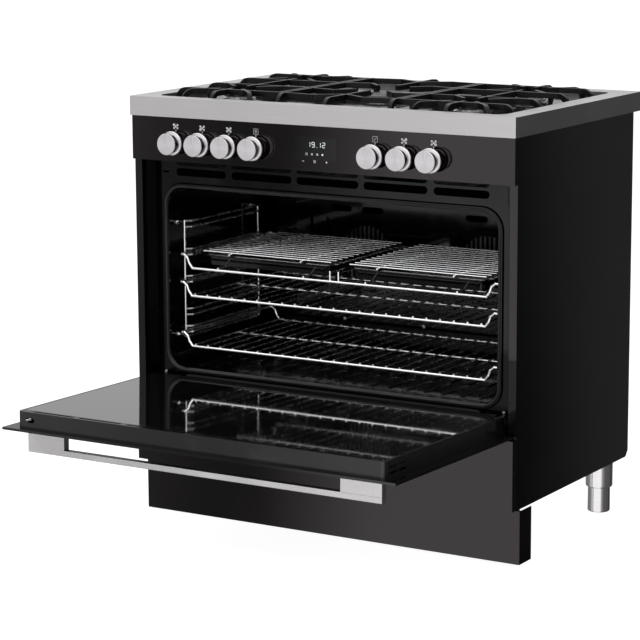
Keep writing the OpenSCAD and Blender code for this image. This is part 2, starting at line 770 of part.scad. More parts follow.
module side_rack() {
  z0 = runner_z(0) - 10;
  z1 = runner_z(len(runners) - 1) + runner_gap + 2;
  for (y = [rack_y0, rack_y1]) wire([rack_x, y, z0], [rack_x, y, z1], rack_wire);
  bent_wire([[rack_x, rack_y0, z0], [rack_x, rack_y1, z0]], rack_wire);
  for (level = [0:len(runners) - 1], up = [0, runner_gap]) {
    z = runner_z(level) + up;
    bent_wire([[rack_x, rack_y0, z], [runner_x, rack_y0 + 12, z], [runner_x, rack_y1 - 12, z], [rack_x, rack_y1, z]],
      rack_wire);
  }
  // Pins into the cavity's side wall
  for (y = [rack_y0, rack_y1], z = [z0 + 4, z1 - 4])
    wire([rack_x, y, z], [cavity_x - gap / 3, y, z], rack_wire);
}

module side_racks() color(chrome) at_origin() both_sides() side_rack();

// The bent frame wire of a shelf or carrier, from a side rail down to the deck
module shelf_frame(rail, deck, y0, y1) {
  bend = [[rail_x, rail], [rail_x - 5, rail], [deck_x + 12, rail - 7], [deck_x + 8, deck + 10], [deck_x, deck]];
  both_sides() {
    wire([rail_x, y0, rail], [rail_x, y1, rail], frame_wire);
    for (y = [y0, y1]) {
      bent_wire([for (p = bend) [p.x, y, p.y]], frame_wire);
      for (p = [bend[0], bend[4]]) bead([p.x, y, p.y], frame_wire);
    }
  }
  for (y = [y0, y1]) wire([-deck_x, y, deck], [deck_x, y, deck], frame_wire);
}

module shelf(level) {
  rail = rail_z(level);
  deck = rail - shelf_drop;
  y1 = shelf_y + shelf_d;
  top = deck + frame_wire / 2 + thin_wire / 2 - 1;
  shelf_frame(rail, deck, shelf_y, y1);
  wire([-deck_x, (shelf_y + y1) / 2, deck], [deck_x, (shelf_y + y1) / 2, deck], frame_wire - 1);
  for (i = [0:shelf_wires - 1]) {
    x = (i - (shelf_wires - 1) / 2) * 2 * (deck_x - 8) / (shelf_wires - 1);
    wire([x, shelf_y - 1, top], [x, y1 + 1, top], thin_wire);
  }
}

module shelf_low() color(chrome) at_origin() shelf(low_level);

module shelf_mid() color(chrome) at_origin() shelf(mid_level);

carrier_deck = rail_z(tray_level) - shelf_drop;
tray_foot = carrier_deck + frame_wire / 2 + thin_wire - 1 + gap;
tray_y = shelf_y + 14;

module tray_carrier() color(chrome) at_origin() {
  y0 = shelf_y + 3;
  y1 = shelf_y + shelf_d;
  shelf_frame(rail_z(tray_level), carrier_deck, y0, y1);
  // Middle rails between the trays, on short uprights
  both_sides() bent_wire([[tray_x - 4, y0, carrier_deck], [tray_x - 4, y0, tray_foot + tray_h - 8],
    [tray_x - 4, y1, tray_foot + tray_h - 8], [tray_x - 4, y1, carrier_deck]], thin_wire);
  // Wires that the trays stand on
  top = carrier_deck + frame_wire / 2 + thin_wire / 2 - 1;
  both_sides() for (x = [tray_x + 60, tray_x + tray_w - 60])
    wire([x, y0 - 1, top], [x, y1 + 1, top], thin_wire);
}

tray_wall = 1.2;
tray_rim = 9;
tray_slope = 5;

// A pressed tray with sloping walls and a flat rim
module tray() {
  r = 16;
  floor_w = tray_w - 2 * (tray_rim + tray_slope);
  floor_d = tray_d - 2 * (tray_rim + tray_slope);
  translate([tray_x + tray_w / 2, tray_y + tray_d / 2, tray_foot]) {
    linear_extrude(tray_wall) round_rect(floor_w, floor_d, r);
    round_frame(floor_w - 0.2, floor_d - 0.2, r)
      polygon([[-1.4, 0], [0, 0], [tray_slope + 1, tray_h], [tray_slope + tray_rim, tray_h],
        [tray_slope + tray_rim, tray_h + tray_wall], [tray_slope, tray_h + tray_wall], [-1.4, tray_wall]]);
  }
}

module trays() color(enamel) at_origin() both_sides() tray();

module tray_grid() {
  x0 = tray_x + 8;
  x1 = tray_x + tray_w - 8;
  y0 = tray_y + 15;
  y1 = tray_y + tray_d - 15;
  rest_z = tray_foot + tray_h + tray_wall + gap + thin_wire / 2;
  z = rest_z + thin_wire - 1;
  for (i = [0:grid_wires - 1]) {
    y = y0 + i * (y1 - y0) / (grid_wires - 1);
    wire([x0, y, z], [x1, y, z], thin_wire);
  }
  for (t = [0.22, 0.78]) {
    x = x0 + t * (x1 - x0);
    wire([x, tray_y + tray_rim - 3, rest_z], [x, tray_y + tray_d - tray_rim + 3, rest_z], thin_wire);
  }
}

module tray_grids() color(chrome) at_origin() both_sides() tray_grid();

// ---- Oven door, drawn closed ----

module door_glass() color("#1a1a1c") swung()
  block([-glass_x, face_y, door_foot], [glass_x, face_y + glass, door_top]);

window_in = 62;
pane_foot = door_foot + 32;
pane_top = door_top - door_top_in - 18;
pane = 4;

module door_frame() color("#232325") swung() {
  y0 = face_y + glass;
  z0 = door_foot + 2;
  z1 = door_top - door_top_in;
  w = 2 * door_x;
  h = z1 - z0;
  r = 10;
  difference() {
    translate([0, 0, (z0 + z1) / 2]) upright(y0, door_back) round_rect(w, h, r);
    translate([0, 0, (z0 + z1) / 2]) upright(y0 - 1, door_back - sheet)
      round_rect(w - 2 * sheet, h - 2 * sheet, r - sheet);
    // Seat of the inner glass, with the window behind it
    block([-door_x + 6, door_back - pane, pane_foot], [door_x - 6, door_back + 1, pane_top]);
    // Corners that swing past the hinge arms
    for (x = [-1, 1]) block([x * arm_x - arm_t / 2 - 1, y0 + 0.5, z0 - 1],
      [x * arm_x + arm_t / 2 + 1, door_back + 1, hinge_z + arm_h / 2 + 2]);
    // Air slots along the top edge, on the inner face and at the ends
    for (i = [-3:3]) translate([i * 112, 0, (pane_top + z1) / 2]) upright(door_back - 3, door_back + 1)
      slot_shape(-50, 50, 7);
    for (x = [-1, 1], y = [y0 + 9, y0 + 20], z = [0, 34]) translate([x * door_x, y, z1 - 30 - z])
      block([-3, -2, -13], [3, 2, 13]);
    translate([-door_x + 30, (y0 + door_back) / 2, z1 - 3]) linear_extrude(6) slot_shape(-11, 11, 9);
  }
  // Cheeks and pins of the hinges
  both_sides() {
    block([arm_x - arm_t / 2 - 4, y0, z0], [arm_x - arm_t / 2 - 1.5, door_back - 1, pane_foot - gap]);
    translate([arm_x - arm_t / 2 - 3, hinge_y, hinge_z]) rotate([0, 90, 0])
      cylinder(h = door_x - arm_x + arm_t / 2 + 2, d = hinge_pin_d);
  }
}

module door_inner_glass() color("#101012") swung() {
  block([-door_x + 6 + gap, door_back - pane, pane_foot + gap], [door_x - 6 - gap, door_back, pane_top - gap]);
  block([-door_x + sheet, door_back - 18, pane_foot], [door_x - sheet, door_back - 14, pane_top - 6]);
}

handle_top = door_top - handle_drop;
handle_x = glass_x - handle_in;

module handle_bar() color(steel) swung() {
  y0 = face_y - handle_out - handle_t;
  translate([-handle_x, y0 + handle_t / 2, handle_top - handle_h / 2]) rotate([90, 0, 90])
    linear_extrude(2 * handle_x) round_rect(handle_t, handle_h, 1.5);
}

module handle_blocks() color(steel) swung() both_sides()
  block([handle_x - block_l, face_y - handle_out, handle_top - handle_h], [handle_x, face_y, handle_top]);

// ---- Controls ----

// A knob with its spindle. The pointer groove is at the top of its face.
module knob(spindle_end) {
  face = face_y - knob_out;
  back = face_y - push - 0.4;
  r = knob_d / 2;
  ring = knob_ring_d / 2;
  difference() {
    translate([0, back, 0]) rotate([90, 0, 0]) rotate_extrude()
      polygon([[0, 0], [19, 0], [19, 7], [21, 10], [ring - 1, 10], [ring, 11], [ring, 14], [ring - 1, 15],
        [r - 1.5, 16], [r - 1.5, back - face - 4], [r - 0.6, back - face - 3.4], [r, back - face - 3],
        [r, back - face - 0.6], [r - 0.6, back - face], [0, back - face]]);
    block([-1.4, face - 1, 5], [1.4, face + 0.8, r + 1]);
  }
  translate([0, back - 1, 0]) rotate([-90, 0, 0]) cylinder(h = spindle_end - back + 1, d = spindle_d);
}

module gas_knob(i) color(steel) at_origin() translate([knob_xs[gas_knobs[i]], 0, knob_z]) knob(valve_y + 18);

module oven_knob(i) color(steel) at_origin() translate([knob_xs[oven_knobs[i]], 0, knob_z]) knob(face_y + sheet + 20);

module push_collar(i) color(brass) at_origin() translate([knob_xs[gas_knobs[i]], valve_y - push - 3, knob_z])
  rotate([-90, 0, 0]) difference() {
    cylinder(h = 2, d = spindle_d + 9);
    translate([0, 0, -1]) cylinder(h = 4, r = spindle_d / 2 + run);
  }

module knob_gas_1() gas_knob(0);
module knob_gas_2() gas_knob(1);
module knob_gas_3() gas_knob(2);
module knob_gas_4() gas_knob(3);
module knob_gas_5() gas_knob(4);
module knob_function() oven_knob(0);
module knob_thermostat() oven_knob(1);
module push_collar_1() push_collar(0);
module push_collar_2() push_collar(1);
module push_collar_3() push_collar(2);
module push_collar_4() push_collar(3);
module push_collar_5() push_collar(4);

module gas_valves() color(brass) at_origin() for (k = gas_knobs) translate([knob_xs[k], 0, knob_z])
  difference() {
    union() {
      block([-12, valve_y, -14], [12, valve_y + 24, 14]);
      translate([0, valve_y + 20, 0]) rotate([-90, 0, 0]) cylinder(h = rail_y - valve_y - 20, d = 18);
      translate([0, valve_y + 14, 10]) cylinder(h = 8, d = 12);
    }
    translate([0, valve_y - 1, 0]) rotate([-90, 0, 0]) cylinder(h = 19 + push + 1, r = spindle_d / 2 + run);
  }

module oven_switches() color("#6a6a66") at_origin() for (k = oven_knobs) translate([knob_xs[k], 0, knob_z])
  difference() {
    union() {
      translate([0, face_y + sheet, 0]) rotate([-90, 0, 0]) cylinder(h = 8, d = 20);
      block([-22, face_y + sheet + 8, -18], [22, rail_y - gap, 18]);
    }
    translate([0, face_y, 0]) rotate([-90, 0, 0]) cylinder(h = sheet + 21, r = spindle_d / 2 + run);
  }

pipe_d = 8;
cup_foot = plate_top - 38;
jog_x = -235;

// Pipe runs from the valves, one for each burner
module pipe(points) bent_wire(concat(points, [[points[len(points) - 1].x, points[len(points) - 1].y, cup_foot - gap]]),
  pipe_d);

module gas_rail() color(brass) at_origin() {
  y = valve_y + 14;
  top = knob_z + 18;
  block([-inner_x, rail_y, knob_z - 7], [inner_x, rail_y + 14, knob_z + 7]);
  front = burner_mid - burner_y;
  back = burner_mid + burner_y;
  kx = [for (k = gas_knobs) knob_xs[k]];
  pipe([[kx[0], y, top], [kx[0], y, pipe_z], [kx[0], front, pipe_z], [-burner_x, front, pipe_z]]);
  pipe([[kx[1], y, top], [kx[1], y, pipe_z], [jog_x, y + 12, pipe_z], [jog_x, back, pipe_z], [-burner_x, back, pipe_z]]);
  pipe([[kx[2], y, top], [kx[2], y, pipe_z], [kx[2], burner_mid, pipe_z], [0, burner_mid, pipe_z]]);
  pipe([[kx[3], y, top], [kx[3], y, pipe_z], [kx[3], back, pipe_z], [burner_x, back, pipe_z]]);
  pipe([[kx[4], y, top], [kx[4], y, pipe_z], [kx[4], front, pipe_z], [burner_x, front, pipe_z]]);
}

// ---- Hob ----

well_w = hob_w - 2 * rim_side;
well_d = hob_d - rim_front - rim_back;
well_mid = rim_front + well_d / 2;
lip_d = 14;

module hob_frame() color(steel) at_origin() difference() {
  union() {
    difference() {
      translate([0, hob_d / 2, body_top]) linear_extrude(hob_h) round_rect(hob_w, hob_d, 2);
      block([-hob_x + sheet, sheet, body_top + sheet], [hob_x - sheet, hob_d - sheet, hob_top - sheet]);
      block([-hob_x + lip_d, lip_d, body_top - 1], [hob_x - lip_d, hob_d - lip_d, body_top + sheet + 1]);
    }
    // Lip down to the plate, round the well
    translate([0, well_mid, plate_top]) linear_extrude(well_drop)
      round_rect(well_w + 2 * sheet, well_d + 2 * sheet, well_r + sheet);
  }
  translate([0, well_mid, plate_top - 1]) linear_extrude(well_drop + 2) round_rect(well_w, well_d, well_r);
}

burners = [for (x = [-1, 1], y = [-1, 1]) [x * burner_x, burner_mid + y * burner_y]];
cup_d = 28;
igniter_out = 40;
wok_igniter = wok_d / 2 + 6;
igniter_d = 4;

module hob_plate() color("#0e0e10") at_origin() difference() {
  union() {
    translate([0, well_mid, plate_top - sheet]) linear_extrude(sheet)
      round_rect(well_w + 20, well_d + 20, well_r + 10);
    translate([0, well_mid, plate_top - 14]) linear_extrude(14 - sheet / 2) difference() {
      round_rect(well_w + 20, well_d + 20, well_r + 10);
      round_rect(well_w + 20 - 2 * sheet, well_d + 20 - 2 * sheet, well_r + 10 - sheet);
    }
  }
  for (b = concat(burners, [[0, burner_mid]])) translate([b.x, b.y, plate_top - 3]) {
    cylinder(h = 4, d = cup_d + 2);
    translate([b.x == 0 ? wok_igniter : igniter_out, 0, 0]) cylinder(h = 4, d = igniter_d + 2 * gap);
  }
}

// A burner body: cup below the plate, flange on it, and a crown with flame ports
module burner_body(d, ports) {
  crown = d / 2 - 4;
  difference() {
    union() {
      translate([0, 0, cup_foot]) cylinder(h = plate_top - cup_foot, d = cup_d);
      translate([0, 0, plate_top]) cylinder(h = 2.5, d = d + 6);
      translate([0, 0, plate_top]) cylinder(h = 6.5, r = crown);
    }
    for (i = [0:ports - 1]) translate([0, 0, plate_top + 4.5]) rotate(i * 360 / ports)
      translate([crown - 6, -1.2, 0]) cube([8, 2.4, 3]);
    translate([0, 0, plate_top + 4.5]) cylinder(h = 3, r = crown - 7);
  }
}

module burner_bodies() color(alu) at_origin() {
  for (b = burners) translate([b.x, b.y, 0]) burner_body(cap_d, 20);
  translate([0, burner_mid, 0]) burner_body(wok_d, 32);
}

module cap(r, hole) difference() {
  translate([0, 0, plate_top + 6.5]) rotate_extrude()
    polygon([[hole, 0], [r - 0.8, 0], [r, 0.8], [r, 3.2], [r - 1.6, 4.8], [r - 6, 5.4], [hole, 5.4]]);
}

module burner_caps() color("#151516") at_origin() {
  for (b = burners) translate([b.x, b.y, 0]) cap(cap_d / 2, 0);
  translate([0, burner_mid, 0]) {
    cap(wok_d / 2, wok_d / 2 - 17);
    translate([0, 0, plate_top + 4.5]) cylinder(h = 3, r = 24);
    translate([0, 0, 1]) cap(24, 0);
  }
}

module igniters() color("#e6e2da") at_origin()
  for (b = concat(burners, [[0, burner_mid]]))
    translate([b.x + (b.x == 0 ? wok_igniter : igniter_out), b.y, plate_top - 16]) {
      cylinder(h = 21, d = igniter_d);
      cylinder(h = 24, d = 1.6);
      translate([0, 0, 8]) cylinder(h = 16 - 8 - sheet, d = igniter_d + 3);
    }

// ---- Pan supports ----

bar_foot = grate_top - bar_h;
leg_h = grate_top - plate_top - gap;

// A bar between two points of the plan, narrower at its top
module bar(p, q) {
  v = q - p;
  translate([p.x, p.y, bar_foot]) rotate([90, 0, atan2(v.y, v.x) + 90]) linear_extrude(norm(v))
    polygon([[-bar_w / 2, 0], [bar_w / 2, 0], [bar_w / 2 - 1.2, bar_h], [-bar_w / 2 + 1.2, bar_h]]);
}

// A joint between bars, a little fuller than they are
module boss(p) translate([p.x, p.y, bar_foot])
  cylinder(h = bar_h - 0.5, r1 = bar_w / 2 + 0.6, r2 = bar_w / 2 - 0.3);

// The end of a bar that curves down to the plate. It starts at p and heads along angle.
module foot_end(p, angle) {
  r = leg_h - bar_h / 2;
  translate([p.x, p.y, grate_top - leg_h]) rotate(angle) translate([0, bar_w / 2 - 0.6, 0]) rotate([90, 0, 0])
    linear_extrude(bar_w - 1.2) intersection() {
      difference() {
        circle(leg_h);
        circle(leg_h - bar_h);
      }
      square(leg_h + 1);
    }
}

row_near = 63;
row_far = 178;
tip_gap = 38;
leg_out = 23;
rim_play = 4;

// One burner's half of an outer pan support, from its far row to the near row. The burner
// is at (0, 0), -y points to the hob's edge, and +x to the hob's middle.
module outer_half(edge, inner, outer) {
  far = burner_y - row_far;
  near = burner_y - row_near;
  tip = tip_gap / sqrt(2);
  side = inner - bar_w / 2;
  bar([-outer, far], [side, far]);
  bar([-outer, near], [side, near]);
  bar([side, far - bar_w / 2], [side, burner_y]);
  for (y = [far, near]) foot_end([-outer, y], 180);
  for (x = [-1, 1]) {
    bar([x * -(edge - 17), -(edge - 17)], [x * -tip, -tip]);
    bar([x * near, near], [x * tip, tip]);
    foot_end([x * -(edge - 17), -(edge - 17)], x > 0 ? 225 : 315);
    boss([x * -far, far]);
  }
  bar([0, -edge + 4], [0, -22]);
  foot_end([0, -edge + 4], 270);
  bar([0, 34], [0, burner_y]);
}

module outer_support(side) {
  inner = burner_x - split_x - 1;
  outer = well_w / 2 - burner_x - leg_out - 8;
  edge = burner_mid - burner_y - rim_front - leg_out - rim_play;
  for (m = [0, 1]) translate([side * burner_x, burner_mid, 0]) mirror([0, m, 0]) mirror([side > 0 ? 1 : 0, 0, 0])
    translate([0, -burner_y, 0]) outer_half(edge, inner, outer);
}

module middle_support() translate([0, burner_mid, 0]) {
  side = split_x - 1 - bar_w / 2;
  edge = burner_mid - rim_front - leg_out - rim_play;
  for (mx = [0, 1], my = [0, 1]) mirror([mx, 0, 0]) mirror([0, my, 0]) {
    bar([side, -row_far], [60, -row_far - 10]);
    bar([60, -row_far - 10], [0, -150]);
    boss([60, -row_far - 10]);
    bar([side, -row_near - 3], [73, -row_near - 17]);
    bar([73, -row_near - 17], [38, -45]);
    boss([73, -row_near - 17]);
    foot_end([side, -row_far - 5], 270);
  }
  for (m = [0, 1]) mirror([m, 0, 0]) bar([side, -row_far - 5], [side, row_far + 5]);
  for (m = [0, 1]) mirror([0, m, 0]) {
    bar([0, -edge], [0, -58]);
    boss([0, -150]);
    foot_end([0, -edge], 270);
  }
}

module pan_support_left() color(iron) at_origin() outer_support(-1);

module pan_support_middle() color(iron) at_origin() middle_support();

module pan_support_right() color(iron) at_origin() outer_support(1);

// ---- Connections at the back ----

inlet_d = 21;
inlet_bore = 14;
inlet_neck = 5;
inlet_thread = 20;

// Hexagon before the back panel, nut behind it, and the threaded end
module gas_inlet() color(brass) at_origin() translate([inlet_x, panel_y, inlet_z]) rotate([-90, 0, 0])
  difference() {
    union() {
      translate([0, 0, -14]) cylinder(h = 14, d = inlet_d + 9, $fn = 6);
      translate([0, 0, sheet]) cylinder(h = 3, d = inlet_d + 9, $fn = 6);
      translate([0, 0, -14]) cylinder(h = 14 + inlet_neck + inlet_thread, d = inlet_d);
    }
    translate([0, 0, -4]) cylinder(h = 40, d = inlet_bore);
  }

module terminal_box() color("#2a2a2b") at_origin() {
  z1 = box_z + 60;
  difference() {
    union() {
      block([box_x - box_w / 2, panel_y + sheet, box_z], [box_x + box_w / 2, panel_y + sheet + 26, z1]);
      translate([box_x, panel_y + sheet + 13, box_z - 10]) cylinder(h = 12, d = 22);
    }
    block([box_x - box_w / 2 + 2, panel_y + sheet + 2, box_z + 2],
      [box_x + box_w / 2 - 2, panel_y + sheet + 24, z1 - 2]);
    translate([box_x, panel_y + sheet + 13, box_z - 11]) cylinder(h = 20, r = gland_r);
  }
}

gland_r = 6.5;

side_panel_left();
side_panel_right();
back_panel();
base_frame();
legs();
plinth();
lower_fascia();
control_fascia();
display_panel();
front_frame();
sill_strip();
oven_cavity();
door_gasket();
fan_cover();
oven_lamps();
grill_element();
heating_elements();
side_racks();
insulation();
fan_motors();
cooling_duct();
gas_rail();
gas_valves();
oven_switches();
hob_frame();
hob_plate();
burner_bodies();
burner_caps();
igniters();
hinge_arms();
gas_inlet();
terminal_box();
door_glass();
door_frame();
door_inner_glass();
handle_bar();
handle_blocks();
knob_gas_1();
knob_gas_2();
knob_gas_3();
knob_function();
knob_thermostat();
knob_gas_4();
knob_gas_5();
push_collar_1();
push_collar_2();
push_collar_3();
push_collar_4();
push_collar_5();
fan_left();
fan_right();
blower_wheel();
shelf_low();
shelf_mid();
tray_carrier();
trays();
tray_grids();
pan_support_left();
pan_support_middle();
pan_support_right();
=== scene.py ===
import json
from math import cos, sin, radians, tau

import bpy
import bmesh
from mathutils import Matrix, Vector


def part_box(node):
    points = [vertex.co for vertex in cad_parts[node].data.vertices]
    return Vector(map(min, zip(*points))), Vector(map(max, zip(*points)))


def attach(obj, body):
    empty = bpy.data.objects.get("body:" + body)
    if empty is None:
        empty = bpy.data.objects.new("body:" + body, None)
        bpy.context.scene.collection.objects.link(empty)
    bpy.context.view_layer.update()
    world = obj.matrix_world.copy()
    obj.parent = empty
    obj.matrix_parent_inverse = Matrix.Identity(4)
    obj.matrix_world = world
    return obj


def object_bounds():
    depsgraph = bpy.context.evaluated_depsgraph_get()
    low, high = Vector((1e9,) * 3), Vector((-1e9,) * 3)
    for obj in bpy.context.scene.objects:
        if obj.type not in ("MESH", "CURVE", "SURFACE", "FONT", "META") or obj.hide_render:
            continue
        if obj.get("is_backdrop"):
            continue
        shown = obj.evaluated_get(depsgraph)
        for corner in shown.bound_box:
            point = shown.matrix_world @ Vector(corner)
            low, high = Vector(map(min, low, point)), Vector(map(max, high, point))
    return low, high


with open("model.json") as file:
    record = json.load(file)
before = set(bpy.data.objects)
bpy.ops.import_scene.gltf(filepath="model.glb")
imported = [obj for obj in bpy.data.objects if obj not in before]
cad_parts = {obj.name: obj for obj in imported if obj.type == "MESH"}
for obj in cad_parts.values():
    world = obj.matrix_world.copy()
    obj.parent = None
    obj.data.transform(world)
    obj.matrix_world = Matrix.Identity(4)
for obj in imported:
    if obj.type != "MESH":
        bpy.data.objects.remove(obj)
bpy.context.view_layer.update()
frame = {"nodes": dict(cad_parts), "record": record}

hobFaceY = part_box("hob_frame")[0][1]  # the hob's front face in the shared frame, metres
print("frame loaded,", len(frame["nodes"]), "nodes")

# Lengths below are millimetres: x to the right, y back from the hob's front face, z up from the floor
toFrame = Matrix.Translation((0, hobFaceY, 0)) @ Matrix.Scale(0.001, 4)
facingFront = Matrix.Rotation(radians(90), 4, "X")  # a shape drawn in x and z, its face towards the front
facingBack = Matrix.Rotation(radians(-90), 4, "X")


# Stage: camera, light, floor

cameraSetup = {
    "place": (2606.4, -4259.7, 1410.3),
    "yaw": 31.348, "pitch": 10.76, "roll": -0.33,
    "lens": 141.28,
}


def makeCamera(setup):
    yaw, pitch, roll = (radians(setup[k]) for k in ("yaw", "pitch", "roll"))
    ahead = Vector((-sin(yaw) * cos(pitch), cos(yaw) * cos(pitch), -sin(pitch)))
    right = ahead.cross(Vector((0, 0, 1))).normalized()
    up = right.cross(ahead)
    right, up = right * cos(roll) + up * sin(roll), up * cos(roll) - right * sin(roll)
    data = bpy.data.cameras.new("camera")
    data.lens = setup["lens"]
    data.clip_start, data.clip_end = 0.1, 60
    obj = bpy.data.objects.new("camera", data)
    bpy.context.scene.collection.objects.link(obj)
    obj.matrix_world = Matrix.Translation(toFrame @ Vector(setup["place"])) @ Matrix(
        (right, up, -ahead)).transposed().to_4x4()
    bpy.context.scene.camera = obj


softboxes = [
    {"name": "keyBox", "place": (-2200, -3200, 2900), "aim": (0, 0, 500), "size": (2.4, 2.0), "power": 62},
    {"name": "topBox", "place": (200, 500, 3600), "aim": (0, 200, 800), "size": (3.0, 2.4), "power": 46},
    {"name": "rightBox", "place": (3600, -1200, 1500), "aim": (200, 0, 500), "size": (1.6, 2.2), "power": 20},
]


def makeSoftbox(box):
    data = bpy.data.lights.new(box["name"], "AREA")
    data.shape = "RECTANGLE"
    data.size, data.size_y = box["size"]
    data.energy = box["power"]
    obj = bpy.data.objects.new(box["name"], data)
    bpy.context.scene.collection.objects.link(obj)
    obj.visible_glossy = False  # shiny faces mirror the room's own brightness instead
    place, aim = toFrame @ Vector(box["place"]), toFrame @ Vector(box["aim"])
    obj.matrix_world = Matrix.Translation(place) @ (aim - place).to_track_quat("-Z", "Y").to_matrix().to_4x4()


room = {
    "diffuse": 0.45,
    # Brightness of the room round about, as the shiny faces mirror it: degrees from the front, to the right
    "round": [(-180, 0.4), (-168, 0.55), (-135, 0.55), (-100, 0.2), (-60, 0.4), (-45, 1), (-38, 0.75), (-35.9, 0.6),
              (-35, 0.28), (-34.3, 0.21), (-31.8, 0.21), (-30, 1.5), (40, 1.5), (52, 0.5), (75, 0.15), (130, 0.12),
              (147, 0.01), (153.1, 0.01), (154.5, 0.095), (155.3, 0.13), (156, 0.13), (158, 0.09), (165, 0.15)],
    # Its boxes lean: how far the brightness shifts with height, in radians, and the height it turns about
    "lean": 0.13, "leanFrom": -0.18,
    # Brightness overhead, and the heights between which it takes over. A height is a direction's upward share.
    "overhead": 2.2, "overheadFrom": 0.35, "overheadTo": 0.62,
}
floorLook = {"half": 30, "drop": 0.0004, "colour": 0.8, "glow": 0.93, "dimming": 0.5}


# Nodes that the room, the groups and the materials share

def mathNode(tree, operation, a, b=None, clamp=False):
    node = tree.nodes.new("ShaderNodeMath")
    node.operation = operation
    node.use_clamp = clamp
    for socket, value in zip(node.inputs, (a, b)):
        if isinstance(value, (int, float)):
            socket.default_value = value
        elif value is not None:
            tree.links.new(value, socket)
    return node.outputs[0]


def mapRange(tree, value, fromRange=(0, 1), toRange=(0, 1), smooth=False):
    node = tree.nodes.new("ShaderNodeMapRange")
    if smooth:
        node.interpolation_type = "SMOOTHSTEP"
    node.inputs["From Min"].default_value, node.inputs["From Max"].default_value = fromRange
    node.inputs["To Min"].default_value, node.inputs["To Max"].default_value = toRange
    tree.links.new(value, node.inputs["Value"])
    return node.outputs[0]


def separate(tree, vector):
    node = tree.nodes.new("ShaderNodeSeparateXYZ")
    tree.links.new(vector, node.inputs[0])
    return node.outputs


# Brightness of the room in the direction that a mirrored ray looks
def roomBrightness(tree, settings):
    direction = separate(tree, tree.nodes.new("ShaderNodeTexCoord").outputs["Generated"])
    turn = mathNode(tree, "ARCTAN2", direction["X"], mathNode(tree, "MULTIPLY", direction["Y"], -1))
    rise = mathNode(tree, "SUBTRACT", direction["Z"], settings["leanFrom"])
    lean = mathNode(tree, "MULTIPLY", mathNode(tree, "MULTIPLY", rise, direction["Y"]), settings["lean"])
    share = mathNode(tree, "ADD", mathNode(tree, "MULTIPLY", mathNode(tree, "ADD", turn, lean), 1 / tau), 0.5)
    ramp = tree.nodes.new("ShaderNodeValToRGB")
    stops = ramp.color_ramp.elements
    while len(stops) < len(settings["round"]):
        stops.new(0.5)
    for stop, (angle, value) in zip(stops, settings["round"]):
        stop.position = angle / 360 + 0.5
        stop.color = (value, value, value, 1)
    tree.links.new(share, ramp.inputs[0])
    mix = tree.nodes.new("ShaderNodeMix")
    above = mapRange(tree, direction["Z"], (settings["overheadFrom"], settings["overheadTo"]), smooth=True)
    tree.links.new(above, mix.inputs[0])
    tree.links.new(ramp.outputs["Color"], mix.inputs[2])
    mix.inputs[3].default_value = settings["overhead"]
    return mix.outputs[0]


# The camera and what shows through glass see plain white; mirrored rays see the room, and others its soft light
def makeRoom(settings):
    world = bpy.data.worlds.new("room")
    bpy.context.scene.world = world
    world.use_nodes = True
    tree = world.node_tree
    back = tree.nodes["Background"]
    back.inputs["Color"].default_value = (1, 1, 1, 1)
    rays = tree.nodes.new("ShaderNodeLightPath").outputs
    straight = mathNode(tree, "ADD", rays["Is Camera Ray"], rays["Is Transmission Ray"], clamp=True)
    mirrored = mathNode(tree, "MULTIPLY", rays["Is Glossy Ray"], roomBrightness(tree, settings))
    plain = mathNode(tree, "SUBTRACT", mathNode(tree, "SUBTRACT", 1, straight), rays["Is Glossy Ray"], clamp=True)
    soft = mathNode(tree, "MULTIPLY", plain, settings["diffuse"])
    tree.links.new(mathNode(tree, "ADD", mathNode(tree, "ADD", straight, soft), mirrored), back.inputs["Strength"])


# A pale floor that keeps the shadow: the camera sees it dimmed and lit from within, near white
def makeFloor(look):
    bm = bmesh.new()
    bmesh.ops.create_grid(bm, x_segments=1, y_segments=1, size=look["half"])
    mesh = bpy.data.meshes.new("floor")
    bm.to_mesh(mesh)
    bm.free()
    floor = bpy.data.objects.new("floor", mesh)
    bpy.context.scene.collection.objects.link(floor)
    floor.location.z = -look["drop"]
    floor.visible_glossy = False
    mat = bpy.data.materials.new("paleFloor")
    mat.use_nodes = True
    tree = mat.node_tree
    tree.nodes.clear()
    out = tree.nodes.new("ShaderNodeOutputMaterial")
    plain = tree.nodes.new("ShaderNodeBsdfDiffuse")
    plain.inputs["Color"].default_value = [look["colour"]] * 3 + [1]
    dimmed = tree.nodes.new("ShaderNodeBsdfDiffuse")
    dimmed.inputs["Color"].default_value = [look["colour"] * look["dimming"]] * 3 + [1]
    glow = tree.nodes.new("ShaderNodeEmission")
    glow.inputs["Strength"].default_value = look["glow"]
    both = tree.nodes.new("ShaderNodeAddShader")
    mix = tree.nodes.new("ShaderNodeMixShader")
    tree.links.new(dimmed.outputs[0], both.inputs[0])
    tree.links.new(glow.outputs[0], both.inputs[1])
    tree.links.new(tree.nodes.new("ShaderNodeLightPath").outputs["Is Camera Ray"], mix.inputs[0])
    tree.links.new(plain.outputs[0], mix.inputs[1])
    tree.links.new(both.outputs[0], mix.inputs[2])
    tree.links.new(mix.outputs[0], out.inputs["Surface"])
    mesh.materials.append(mat)
    floor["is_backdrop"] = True


makeCamera(cameraSetup)
for box in softboxes:
    makeSoftbox(box)
makeRoom(room)
makeFloor(floorLook)
bpy.context.scene.view_settings.view_transform = "Standard"
print("camera, light and floor set")


# Shader groups that several materials share

def newGroup(name, inputs, outputs):
    group = bpy.data.node_groups.new(name, "ShaderNodeTree")
    for label, kind, value in inputs:
        socket = group.interface.new_socket(label, in_out="INPUT", socket_type=kind)
        if value is not None:
            socket.default_value = value
    for label, kind in outputs:
        group.interface.new_socket(label, in_out="OUTPUT", socket_type=kind)
    return group, group.nodes.new("NodeGroupInput"), group.nodes.new("NodeGroupOutput")


